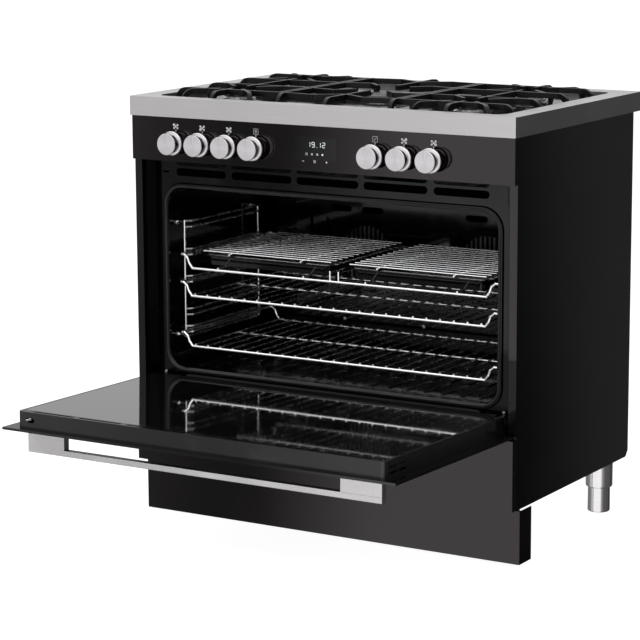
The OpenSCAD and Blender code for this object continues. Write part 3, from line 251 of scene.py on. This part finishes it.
# Noise whose grain is drawn out along the axes with a small stretch
def stretchedNoise(tree, vector, stretch, detail, roughness):
    scaled = tree.nodes.new("ShaderNodeVectorMath")
    scaled.operation = "MULTIPLY"
    noise = tree.nodes.new("ShaderNodeTexNoise")
    noise.inputs["Scale"].default_value = 1
    noise.inputs["Detail"].default_value = detail
    noise.inputs["Roughness"].default_value = roughness
    tree.links.new(vector, scaled.inputs[0])
    if isinstance(stretch, tuple):
        scaled.inputs[1].default_value = stretch
    else:
        tree.links.new(stretch, scaled.inputs[1])
    tree.links.new(scaled.outputs[0], noise.inputs["Vector"])
    return noise.outputs["Fac"]


def makeGrainGroup():
    group, given, result = newGroup(
        "surfaceGrain",
        [("Vector", "NodeSocketVector", None), ("Stretch", "NodeSocketVector", (400, 400, 400)),
         ("Smudge Size", "NodeSocketFloat", 6.0)],
        [("Grain", "NodeSocketFloat"), ("Smudge", "NodeSocketFloat")])
    grain = stretchedNoise(group, given.outputs["Vector"], given.outputs["Stretch"], 4, 0.6)
    cloud = group.nodes.new("ShaderNodeTexNoise")
    cloud.inputs["Detail"].default_value = 5
    cloud.inputs["Distortion"].default_value = 0.6
    group.links.new(given.outputs["Vector"], cloud.inputs["Vector"])
    group.links.new(given.outputs["Smudge Size"], cloud.inputs["Scale"])
    group.links.new(grain, result.inputs["Grain"])
    group.links.new(mapRange(group, cloud.outputs["Fac"], (0.4, 0.68), smooth=True), result.inputs["Smudge"])
    return group


def makeFleckGroup():
    group, given, result = newGroup(
        "enamelFlecks",
        [("Vector", "NodeSocketVector", None), ("Scale", "NodeSocketFloat", 500.0),
         ("Size", "NodeSocketFloat", 0.14)],
        [("Fleck", "NodeSocketFloat"), ("Ripple", "NodeSocketFloat")])
    cells = group.nodes.new("ShaderNodeTexVoronoi")
    group.links.new(given.outputs["Vector"], cells.inputs["Vector"])
    group.links.new(given.outputs["Scale"], cells.inputs["Scale"])
    near = mathNode(group, "LESS_THAN", cells.outputs["Distance"], given.outputs["Size"])
    ripple = stretchedNoise(group, given.outputs["Vector"], (160, 160, 160), 2, 0.5)
    group.links.new(near, result.inputs["Fleck"])
    group.links.new(ripple, result.inputs["Ripple"])
    return group


def makeSpunHighlightGroup():
    group, given, result = newGroup(
        "spunRingsAndHighlight",
        [("Vector", "NodeSocketVector", None), ("Pitch", "NodeSocketFloat", 900.0)],
        [("Ring", "NodeSocketFloat"), ("Ray", "NodeSocketFloat")])
    parts = separate(group, given.outputs["Vector"])
    flat = group.nodes.new("ShaderNodeCombineXYZ")
    group.links.new(parts["X"], flat.inputs["X"])
    group.links.new(parts["Z"], flat.inputs["Y"])
    away = group.nodes.new("ShaderNodeVectorMath")
    away.operation = "LENGTH"
    group.links.new(flat.outputs[0], away.inputs[0])
    rings = group.nodes.new("ShaderNodeTexNoise")
    rings.noise_dimensions = "1D"
    rings.inputs["Scale"].default_value = 1
    rings.inputs["Detail"].default_value = 3
    fine = mathNode(group, "MULTIPLY", away.outputs["Value"], given.outputs["Pitch"])
    group.links.new(fine, rings.inputs["W"])
    # Painted highlight: the colour is lighter in two opposite fans, where brushed rings would catch the light
    turn = mathNode(group, "ARCTAN2", parts["Z"], parts["X"])
    fanHighlight = mathNode(group, "COSINE", mathNode(group, "MULTIPLY", turn, 2))
    group.links.new(rings.outputs["Fac"], result.inputs["Ring"])
    group.links.new(mapRange(group, fanHighlight, (-1, 1)), result.inputs["Ray"])
    return group


grainGroup = makeGrainGroup()
fleckGroup = makeFleckGroup()
spunHighlightGroup = makeSpunHighlightGroup()


# Materials

finishes = {
    "black_panel": {"colours": ((0.0016, 0.0014, 0.0015), (0.003, 0.0027, 0.0028)), "rough": (0.05, 0.075),
                    "specular": 0.42, "tint": (1, 0.9, 0.92),
                    "stretch": (260, 260, 260), "bump": 0.02, "smudgeSize": 5},
    "enamel": {"colours": ((0.0015, 0.0015, 0.0017), (0.025, 0.025, 0.026)), "rough": (0.08, 0.15), "specular": 0.26,
               "flecks": 420, "bump": 0.05, "smudgeSize": 7},
    "steel_frame": {"colours": ((0.43, 0.42, 0.42), (0.53, 0.515, 0.52)), "metallic": 1, "rough": (0.34, 0.4),
                    "stretch": (6, 900, 900), "bump": 0.04, "smudgeSize": 4},
    "galvanised": {"colours": ((0.3, 0.3, 0.31), (0.46, 0.46, 0.47)), "metallic": 1, "rough": (0.32, 0.5),
                   "stretch": (70, 70, 70), "bump": 0.03, "smudgeSize": 28},
    "chrome_wire": {"colours": ((0.82, 0.82, 0.83), (0.92, 0.92, 0.93)), "metallic": 1, "rough": (0.2, 0.3),
                    "stretch": (300, 300, 300), "bump": 0.02, "smudgeSize": 30},
    "leg_steel": {"colours": ((0.5, 0.49, 0.49), (0.66, 0.65, 0.65)), "metallic": 1, "rough": (0.1, 0.15),
                  "stretch": (30, 30, 1200), "bump": 0.03, "smudgeSize": 9},
    "handle_steel": {"colours": ((0.5, 0.49, 0.49), (0.62, 0.605, 0.61)), "metallic": 1, "rough": (0.24, 0.36),
                     "stretch": (8, 1000, 1000), "bump": 0.08, "smudgeSize": 6},
    "hob_glass": {"colours": ((0.0035, 0.0035, 0.004), (0.006, 0.006, 0.006)), "rough": (0.04, 0.1),
                  "stretch": (120, 120, 120), "bump": 0.004, "smudgeSize": 9},
    "door_glass": {"colours": ((0.003, 0.003, 0.0032), (0.005, 0.005, 0.005)), "rough": (0.03, 0.09),
                   "stretch": (100, 100, 100), "bump": 0.003, "smudgeSize": 6},
    "inner_glass": {"colours": ((0.004, 0.004, 0.0045), (0.007, 0.007, 0.007)), "rough": (0.03, 0.08),
                    "stretch": (90, 90, 90), "bump": 0.003, "smudgeSize": 5, "coat": 1},
    "display": {"colours": ((0.002, 0.002, 0.0025), (0.004, 0.004, 0.0045)), "rough": (0.03, 0.08),
                "stretch": (90, 90, 90), "bump": 0.003, "smudgeSize": 12},
    "gasket": {"colours": ((0.006, 0.006, 0.006), (0.014, 0.014, 0.014)), "rough": (0.6, 0.8),
               "stretch": (500, 500, 500), "bump": 0.25, "smudgeSize": 20},
    "lamp_glass": {"colours": ((0.72, 0.76, 0.74), (0.82, 0.85, 0.83)), "rough": (0.08, 0.2), "through": 0.85,
                   "stretch": (300, 300, 300), "bump": 0.1, "smudgeSize": 40},
    "element": {"colours": ((0.03, 0.03, 0.034), (0.07, 0.062, 0.055)), "metallic": 0.7, "rough": (0.35, 0.55),
                "stretch": (400, 400, 400), "bump": 0.1, "smudgeSize": 14},
    "wool": {"colours": ((0.5, 0.46, 0.38), (0.8, 0.77, 0.7)), "rough": (0.9, 1.0),
             "stretch": (60, 700, 700), "bump": 0.9, "smudgeSize": 12},
    "motor": {"colours": ((0.32, 0.32, 0.33), (0.48, 0.48, 0.49)), "metallic": 1, "rough": (0.3, 0.45),
              "stretch": (200, 200, 200), "bump": 0.05, "smudgeSize": 18},
    "brass": {"colours": ((0.42, 0.27, 0.09), (0.6, 0.43, 0.17)), "metallic": 1, "rough": (0.22, 0.36),
              "stretch": (300, 300, 300), "bump": 0.06, "smudgeSize": 20},
    "switch_plastic": {"colours": ((0.03, 0.03, 0.032), (0.05, 0.05, 0.052)), "rough": (0.45, 0.6),
                       "stretch": (900, 900, 900), "bump": 0.15, "smudgeSize": 14},
    "burner_alu": {"colours": ((0.6, 0.6, 0.61), (0.78, 0.78, 0.79)), "metallic": 1, "rough": (0.3, 0.42),
                   "stretch": (700, 700, 700), "bump": 0.25, "smudgeSize": 16},
    "cap_enamel": {"colours": ((0.006, 0.006, 0.006), (0.014, 0.014, 0.014)), "rough": (0.3, 0.45),
                   "stretch": (600, 600, 600), "bump": 0.12, "smudgeSize": 20},
    "ceramic": {"colours": ((0.6, 0.58, 0.52), (0.78, 0.76, 0.7)), "rough": (0.15, 0.3),
                "stretch": (300, 300, 300), "bump": 0.03, "smudgeSize": 60},
    "iron": {"colours": ((0.003, 0.003, 0.003), (0.008, 0.008, 0.008)), "rough": (0.24, 0.38), "specular": 0.13,
             "stretch": (850, 850, 850), "bump": 0.35, "smudgeSize": 14},
    "hinge_steel": {"colours": ((0.28, 0.28, 0.28), (0.42, 0.42, 0.42)), "metallic": 1, "rough": (0.3, 0.45),
                    "stretch": (300, 300, 300), "bump": 0.06, "smudgeSize": 20},
    "door_steel": {"colours": ((0.004, 0.004, 0.0044), (0.008, 0.008, 0.008)), "rough": (0.16, 0.26),
                   "stretch": (240, 240, 240), "bump": 0.02, "smudgeSize": 8},
    # The knob's two colours are the dark and the light of a painted highlight
    "knob_steel": {"colours": ((0.54, 0.525, 0.54), (0.6, 0.585, 0.6)), "metallic": 1, "rough": (0.32, 0.42),
                   "spun": 2600, "sideRough": 0.12, "bump": 0.1, "smudgeSize": 25},
    # Painted reflection: the sill strip is coloured lighter than the black steel round it, standing in for the light
    # its front face catches
    "sill_painted_sheen": {"colours": ((0.018, 0.016, 0.017), (0.024, 0.0215, 0.0225)), "rough": (0.42, 0.5),
                    "stretch": (8, 900, 900), "bump": 0.03, "smudgeSize": 6, "tint": (1, 0.9, 0.92)},
    # Painted shade: a black with no shine, for plates that stand in for the shade in deep gaps
    "painted_shade_black": {"colours": ((0.001, 0.001, 0.001), (0.002, 0.002, 0.002)), "rough": (0.9, 1), "specular": 0,
                    "stretch": (400, 400, 400), "bump": 0.02, "smudgeSize": 20},
    "mark_white": {"colours": ((0.62, 0.62, 0.62), (0.7, 0.7, 0.7)), "rough": (0.5, 0.6),
                   "stretch": (900, 900, 900), "bump": 0.03, "smudgeSize": 60},
    "mark_lit": {"colours": ((0.75, 0.8, 0.84), (0.85, 0.88, 0.9)), "rough": (0.4, 0.5), "glow": 0.35,
                 "stretch": (900, 900, 900), "bump": 0.02, "smudgeSize": 60},
    "groove_light": {"colours": ((0.62, 0.61, 0.62), (0.72, 0.71, 0.72)), "rough": (0.3, 0.4), "metallic": 0.6,
                     "stretch": (900, 900, 900), "bump": 0.02, "smudgeSize": 60},
    "screw_steel": {"colours": ((0.3, 0.3, 0.3), (0.45, 0.45, 0.45)), "metallic": 1, "rough": (0.25, 0.4),
                    "stretch": (700, 700, 700), "bump": 0.06, "smudgeSize": 60},
    "screw_black": {"colours": ((0.006, 0.006, 0.006), (0.014, 0.014, 0.014)), "metallic": 0.3, "rough": (0.25, 0.4),
                    "stretch": (700, 700, 700), "bump": 0.06, "smudgeSize": 60},
}


bumpDistance = 0.0006  # metres
faceTilt = 0.7  # how squarely a knob's surface looks forwards or back where it counts as its face


def addGroup(tree, group, vector, settings):
    node = tree.nodes.new("ShaderNodeGroup")
    node.node_tree = group
    tree.links.new(vector, node.inputs["Vector"])
    for label, value in settings.items():
        node.inputs[label].default_value = value
    return node.outputs


def makeMaterial(name, finish, centre=None):
    mat = bpy.data.materials.new(name)
    mat.use_nodes = True
    tree = mat.node_tree
    nodes, links = tree.nodes, tree.links
    shader = nodes["Principled BSDF"]
    coordinates = nodes.new("ShaderNodeTexCoord").outputs
    vector = coordinates["Object"]
    if centre is not None:
        place = nodes.new("ShaderNodeMapping")
        place.inputs["Location"].default_value = [-c for c in centre]
        links.new(vector, place.inputs["Vector"])
        vector = place.outputs[0]
    grain = addGroup(tree, grainGroup, vector, {"Stretch": finish.get("stretch", (300, 300, 300)),
                                                "Smudge Size": finish["smudgeSize"]})
    rough = mapRange(tree, grain["Smudge"], toRange=finish["rough"])
    shade = height = grain["Grain"]
    if "flecks" in finish:
        flecks = addGroup(tree, fleckGroup, vector, {"Scale": finish["flecks"]})
        shade, height = flecks["Fleck"], flecks["Ripple"]
    if "spun" in finish:  # the face is brushed in rings, the turned side polished
        spun = addGroup(tree, spunHighlightGroup, vector, {"Pitch": finish["spun"]})
        forwards = mathNode(tree, "ABSOLUTE", separate(tree, coordinates["Normal"])["Y"])
        face = mathNode(tree, "GREATER_THAN", forwards, faceTilt)
        # The colour follows a painted highlight in two opposite fans across the knob
        shade, height = spun["Ray"], mathNode(tree, "MULTIPLY", spun["Ring"], face)
        sides = nodes.new("ShaderNodeMix")
        sides.inputs[2].default_value = finish["sideRough"]
        links.new(face, sides.inputs[0])
        links.new(rough, sides.inputs[3])
        rough = sides.outputs[0]
    colour = nodes.new("ShaderNodeMix")
    colour.data_type = "RGBA"
    colour.inputs[6].default_value = (*finish["colours"][0], 1)
    colour.inputs[7].default_value = (*finish["colours"][1], 1)
    links.new(shade, colour.inputs[0])
    links.new(colour.outputs[2], shader.inputs["Base Color"])
    links.new(rough, shader.inputs["Roughness"])
    bump = nodes.new("ShaderNodeBump")
    bump.inputs["Strength"].default_value = finish["bump"]
    bump.inputs["Distance"].default_value = bumpDistance
    links.new(height, bump.inputs["Height"])
    links.new(bump.outputs[0], shader.inputs["Normal"])
    shader.inputs["Metallic"].default_value = finish.get("metallic", 0)
    shader.inputs["Specular IOR Level"].default_value = finish.get("specular", 0.5)
    shader.inputs["Specular Tint"].default_value = (*finish.get("tint", (1, 1, 1)), 1)
    shader.inputs["Coat Weight"].default_value = finish.get("coat", 0)
    shader.inputs["Transmission Weight"].default_value = finish.get("through", 0)
    if "glow" in finish:
        links.new(colour.outputs[2], shader.inputs["Emission Color"])
        shader.inputs["Emission Strength"].default_value = finish["glow"]
    return mat


materials = {name: makeMaterial(name, finish) for name, finish in finishes.items()}

for part in frame["record"]["subparts"]:
    obj, slotName = frame["nodes"][part["node"]], part["material_slot"]
    # The sill strip takes its own lighter colour, a painted reflection
    mat = materials["sill_painted_sheen" if part["node"] == "sill_strip" else slotName]
    if slotName == "knob_steel":
        low, high = (Vector(c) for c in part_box(part["node"]))
        mat = makeMaterial("spun_" + part["node"], finishes[slotName], (low + high) / 2)
    obj.data.materials.clear()
    obj.data.materials.append(mat)
print("materials made:", len(bpy.data.materials))


# Building pieces

weld = 0.0005  # points closer than this, in millimetres, become one


def finishPiece(name, bm, slotName, body, material=None, clean=True):
    if clean:
        bmesh.ops.remove_doubles(bm, verts=bm.verts, dist=weld)
        bmesh.ops.recalc_face_normals(bm, faces=bm.faces)
    bmesh.ops.transform(bm, matrix=toFrame, verts=bm.verts)
    mesh = bpy.data.meshes.new(name)
    bm.to_mesh(mesh)
    bm.free()
    obj = bpy.data.objects.new(name, mesh)
    bpy.context.scene.collection.objects.link(obj)
    mesh.materials.append(materials[material or slotName])
    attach(obj, body)
    return obj


# Spins a profile of (radius, height) points about the z axis, then puts it in place
def lathe(bm, profile, place, steps=24):
    before = set(bm.verts)
    ring = [bm.verts.new((r, 0, h)) for r, h in profile]
    edges = [bm.edges.new(pair) for pair in zip(ring, ring[1:])]
    bmesh.ops.spin(bm, geom=ring + edges, cent=(0, 0, 0), axis=(0, 0, 1), angle=tau, steps=steps, use_merge=True)
    bmesh.ops.remove_doubles(bm, verts=[v for v in bm.verts if v not in before], dist=weld)
    bmesh.ops.transform(bm, matrix=place, verts=[v for v in bm.verts if v not in before])


# A thin upright plate facing the front, with a hole inside if hollow is its frame's width
def plate(bm, x, z, w, h, y, hollow=0):
    made = bmesh.ops.create_grid(bm, x_segments=1, y_segments=1, size=0.5,
                                 matrix=Matrix.Translation((x, y, z)) @ facingFront @ Matrix.Diagonal((w, h, 1, 1)))
    if hollow:
        faces = list({f for v in made["verts"] for f in v.link_faces})
        bmesh.ops.inset_individual(bm, faces=faces, thickness=hollow)
        bmesh.ops.delete(bm, geom=faces, context="FACES_ONLY")


def dot(bm, x, z, r, y, segments=20):
    bmesh.ops.create_circle(bm, cap_ends=True, segments=segments, radius=r,
                            matrix=Matrix.Translation((x, y, z)) @ facingFront)


printDepth = 0.08  # of the marks on the fascia and the display


def thicken(bm, depth):
    bmesh.ops.recalc_face_normals(bm, faces=bm.faces)
    bmesh.ops.solidify(bm, geom=bm.faces[:], thickness=depth)


# Printed marks on the control fascia: a plan of the five burners, or a small oven
marks = {
    "gas": [-337, -271.5, -206, 204, 270], "oven": [-140.5, 138.5],
    "z": 836, "size": 11.5, "line": 0.9, "tickZ": 827.4, "tick": (1.5, 4.4), "face": 3.92,
    "burners": [(-4.2, 3.2), (-4.2, -3.2), (0, 0), (4.2, 3.2), (4.2, -3.2)], "dots": (2.3, 2.9),
    "bars": {"pitch": 2.4, "w": 5.6, "h": 0.8}, "steps": {"pitch": 2.1, "r": 0.9},
}


def makeControlMarks(m):
    bm = bmesh.new()
    z, y = m["z"], m["face"]
    for own, x in enumerate(m["gas"]):
        for i, (dx, dz) in enumerate(m["burners"]):
            dot(bm, x + dx, z + dz, m["dots"][i == own], y)
    for x in m["oven"]:
        plate(bm, x, z, m["size"], m["size"], y, hollow=m["line"])
    for x in m["gas"] + m["oven"]:
        plate(bm, x, m["tickZ"], *m["tick"], y)
    function, heat = m["oven"]
    for i in (-1, 0, 1):
        plate(bm, function, z + m["bars"]["pitch"] * i, m["bars"]["w"], m["bars"]["h"], y)
        dot(bm, heat + m["steps"]["pitch"] * i, z + m["steps"]["pitch"] * i, m["steps"]["r"], y)
    thicken(bm, printDepth)
    return finishPiece("control_marks", bm, "black_panel", "cooker", "mark_white")


digitBars = {  # seven bars of a digit: (along x in half widths, along z in half heights, upright)
    "top": (0, 1, False), "middle": (0, 0, False), "bottom": (0, -1, False),
    "leftUp": (-1, 0.5, True), "leftDown": (-1, -0.5, True), "rightUp": (1, 0.5, True), "rightDown": (1, -0.5, True),
}
digitShapes = {
    "1": ["rightUp", "rightDown"],
    "2": ["top", "rightUp", "middle", "leftDown", "bottom"],
    "9": ["top", "rightUp", "middle", "leftUp", "rightDown", "bottom"],
}
clock = {
    "face": 3.9,
    # Digits: their bars are shortened by a share of a bar's width
    "digits": "1912", "x": -15, "pitch": 10.4, "z": 817, "w": 6.1, "h": 9.8,
    "bar": 1.2, "uprightShort": 0.7, "levelShort": 0.6,
    # The point between hours and minutes: how far before the next digit it sits, and the extra room it takes
    "pointBefore": 1.6, "pointR": 0.7, "gap": 3.7,
    # A row of four symbols
    "smallZ": 797.7, "smallX": [-20, -7.5, 5, 17], "box": 4, "line": 0.7,
    "stroke": (4.4, 0.6), "strokePitch": 1.5, "dotR": 2,
    # A row of three keys: minus, a framed bar and plus
    "keyZ": 783, "keyX": [-28, -1.4, 26.4], "sign": (4.6, 0.8), "arm": (0.8, 1.8), "armAt": 1.4,
    "needle": (0.6, 1.8), "needleUp": 0.6,
}


def makeClock(c):
    bm = bmesh.new()
    x, y = c["x"], c["face"]
    barSizes = {True: (c["bar"], c["h"] / 2 - c["bar"] * c["uprightShort"]),
                False: (c["w"] - c["bar"] * c["levelShort"], c["bar"])}
    for i, digit in enumerate(c["digits"]):
        for name in digitShapes[digit]:
            dx, dz, upright = digitBars[name]
            plate(bm, x + dx * c["w"] / 2, c["z"] + dz * c["h"] / 2, *barSizes[upright], y)
        x += c["pitch"]
        if i == 1:
            dot(bm, x - c["pointBefore"], c["z"] - c["h"] / 2, c["pointR"], y)
            x += c["gap"]
    boxX, rowsX, columnsX, dotX = c["smallX"]
    z, (long, short) = c["smallZ"], c["stroke"]
    plate(bm, boxX, z, c["box"], c["box"], y, hollow=c["line"])
    for i in (-1, 0, 1):
        plate(bm, rowsX, z + c["strokePitch"] * i, long, short, y)
        plate(bm, columnsX + c["strokePitch"] * i, z, short, long, y)
    dot(bm, dotX, z, c["dotR"], y)
    minusX, frameX, plusX = c["keyX"]
    z, side = c["keyZ"], c["sign"][0]
    for x in (minusX, plusX):
        plate(bm, x, z, *c["sign"], y)
    for up in (c["armAt"], -c["armAt"]):
        plate(bm, plusX, z + up, *c["arm"], y)
    plate(bm, frameX, z, side, side, y, hollow=c["line"])
    plate(bm, frameX, z + c["needleUp"], *c["needle"], y)
    thicken(bm, printDepth)
    return finishPiece("display_marks", bm, "display", "cooker", "mark_lit")


makeControlMarks(marks)
makeClock(clock)
print("marks on the control fascia made")

# Light lines in the knobs' grooves
pointer = {"w": 2.4, "z0": 5.4, "z1": 21.4, "face": -32.6, "depth": 0.4}


def makePointer(knobName, p):
    low, high = (toFrame.inverted() @ Vector(c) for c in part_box(knobName))
    x, z = (low.x + high.x) / 2, (low.z + high.z) / 2
    bm = bmesh.new()
    plate(bm, x, z + (p["z0"] + p["z1"]) / 2, p["w"], p["z1"] - p["z0"], p["face"])
    thicken(bm, p["depth"])
    return finishPiece("pointer_" + knobName, bm, "knob_steel", knobName, "groove_light")


for part in frame["record"]["subparts"]:
    if part["material_slot"] == "knob_steel":
        makePointer(part["node"], pointer)
print("knob pointers made")

# Screws: a low head each with a round socket, in shares of its radius across and of its height up
screwShape = {"socketFloor": (0.39, 0.35), "socketRim": (0.45, 1), "dome": (0.86, 0.9), "edge": (1, 0.45)}


def addScrew(bm, place, turn, r, h):
    outline = [(across * r, up * h) for across, up in screwShape.values()]
    profile = [(0, outline[0][1])] + outline + [(r, 0)]
    lathe(bm, profile, Matrix.Translation(place) @ turn, steps=20)


screws = {
    "frame_screws": {"slot": "enamel", "finish": "screw_steel", "turn": facingFront, "r": 4, "h": 1.8,
                     "places": [(s * 404, 50, 304) for s in (-1, 1)]},
    "cover_screws": {"slot": "enamel", "finish": "screw_steel", "turn": facingFront, "r": 4.5, "h": 2,
                     "places": [(x, 454.5, 371) for x in (-200, 0, 200)] + [(s * 350, 454.5, 652) for s in (-1, 1)]},
    "back_screws": {"slot": "galvanised", "finish": "screw_steel", "turn": facingBack, "r": 4.2, "h": 2.2,
                    "places": [(s * 439, 545, z) for s in (-1, 1) for z in (160, 350, 540, 730, 840)]},
    "box_screws": {"slot": "switch_plastic", "finish": "screw_black", "turn": facingBack, "r": 3.6, "h": 1.6,
                   "places": [(-340 + s * 36, 569.5, 198 + dz) for s in (-1, 1) for dz in (10, 50)]},
}


def makeScrews(name, s):
    bm = bmesh.new()
    for place in s["places"]:
        addScrew(bm, place, s["turn"], s["r"], s["h"])
    return finishPiece(name, bm, s["slot"], "cooker", s["finish"])


for name, s in screws.items():
    makeScrews(name, s)
print("screws made")

# Collars that hold the side racks' pins to the cavity walls
rackNuts = {"y": (100, 388), "z": (376.5, 619), "r": 6, "bore": 2.6, "chamfer": 1, "h": 3.5, "wall": 405}


def makeRackNuts(n):
    bm = bmesh.new()
    r, h, chamfer = n["r"], n["h"], n["chamfer"]
    profile = [(n["bore"], h), (r - chamfer, h), (r, h - chamfer), (r, 0)]
    for side in (-1, 1):
        turn = Matrix.Rotation(radians(-90 * side), 4, "Y")
        for y in n["y"]:
            for z in n["z"]:
                lathe(bm, profile, Matrix.Translation((side * n["wall"], y, z)) @ turn)
    return finishPiece("rack_nuts", bm, "chrome_wire", "cooker")


makeRackNuts(rackNuts)

# Black plates that stand in for shade, as painted shade: in the duct behind the vent slots, and beside the lower
# hinges
shadePlateDepth = 0.5
shadePlates = {
    "duct_shade_plate": {"x": 0, "z": 728, "w": 752, "h": 38, "y": 64, "slot": "galvanised"},
    "hinge_shade_plate_left": {"x": -427, "z": 262, "w": 36, "h": 40, "y": 46.5, "slot": "enamel"},
    "hinge_shade_plate_right": {"x": 427, "z": 262, "w": 36, "h": 40, "y": 46.5, "slot": "enamel"},
}


def makeShadePlate(name, n):
    bm = bmesh.new()
    plate(bm, n["x"], n["z"], n["w"], n["h"], n["y"])
    thicken(bm, shadePlateDepth)
    return finishPiece(name, bm, n["slot"], "cooker", "painted_shade_black")


for name, n in shadePlates.items():
    makeShadePlate(name, n)
print("linings made")

# Bezel rings round the oven lamps
lampRing = {"x": 330, "y": 382.5, "z": 701, "inner": 21.5, "outer": 27, "h": 3.4, "lip": 2.1, "slope": 2.5, "edge": 1}


def makeLampRings(r):
    bm = bmesh.new()
    turn = Matrix.Rotation(radians(180), 4, "X")
    inner, outer, h = r["inner"], r["outer"], r["h"]
    profile = [(inner, r["lip"]), (inner, h), (outer - r["slope"], h), (outer, r["edge"]), (outer, 0)]
    for side in (-1, 1):
        lathe(bm, profile, Matrix.Translation((side * r["x"], r["y"], r["z"])) @ turn, steps=40)
    return finishPiece("lamp_rings", bm, "chrome_wire", "cooker")


makeLampRings(lampRing)

# Thread on the gas inlet
thread = {"x": 380, "z": 178, "y0": 547, "y1": 567, "r": 10.4, "crest": 0.55, "pitch": 1.8, "width": 0.9,
          "perTurn": 28}


def makeThread(t):
    bm = bmesh.new()
    width = t["pitch"] * t["width"]
    ring = [bm.verts.new((t["r"] + out, 0, up)) for out, up in ((0, 0), (t["crest"], width / 2), (0, width))]
    edges = [bm.edges.new(pair) for pair in zip(ring, ring[1:])]
    turns = int((t["y1"] - t["y0"]) / t["pitch"]) - 1
    steps = turns * t["perTurn"]
    bmesh.ops.spin(bm, geom=ring + edges, cent=(0, 0, 0), axis=(0, 0, 1), dvec=(0, 0, t["pitch"] / t["perTurn"]),
                   angle=tau * turns, steps=steps)
    bmesh.ops.transform(bm, matrix=Matrix.Translation((t["x"], t["y0"], t["z"])) @ facingBack, verts=bm.verts)
    return finishPiece("inlet_thread", bm, "brass", "cooker", clean=False)


makeThread(thread)
print("small fittings made")

low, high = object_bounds()
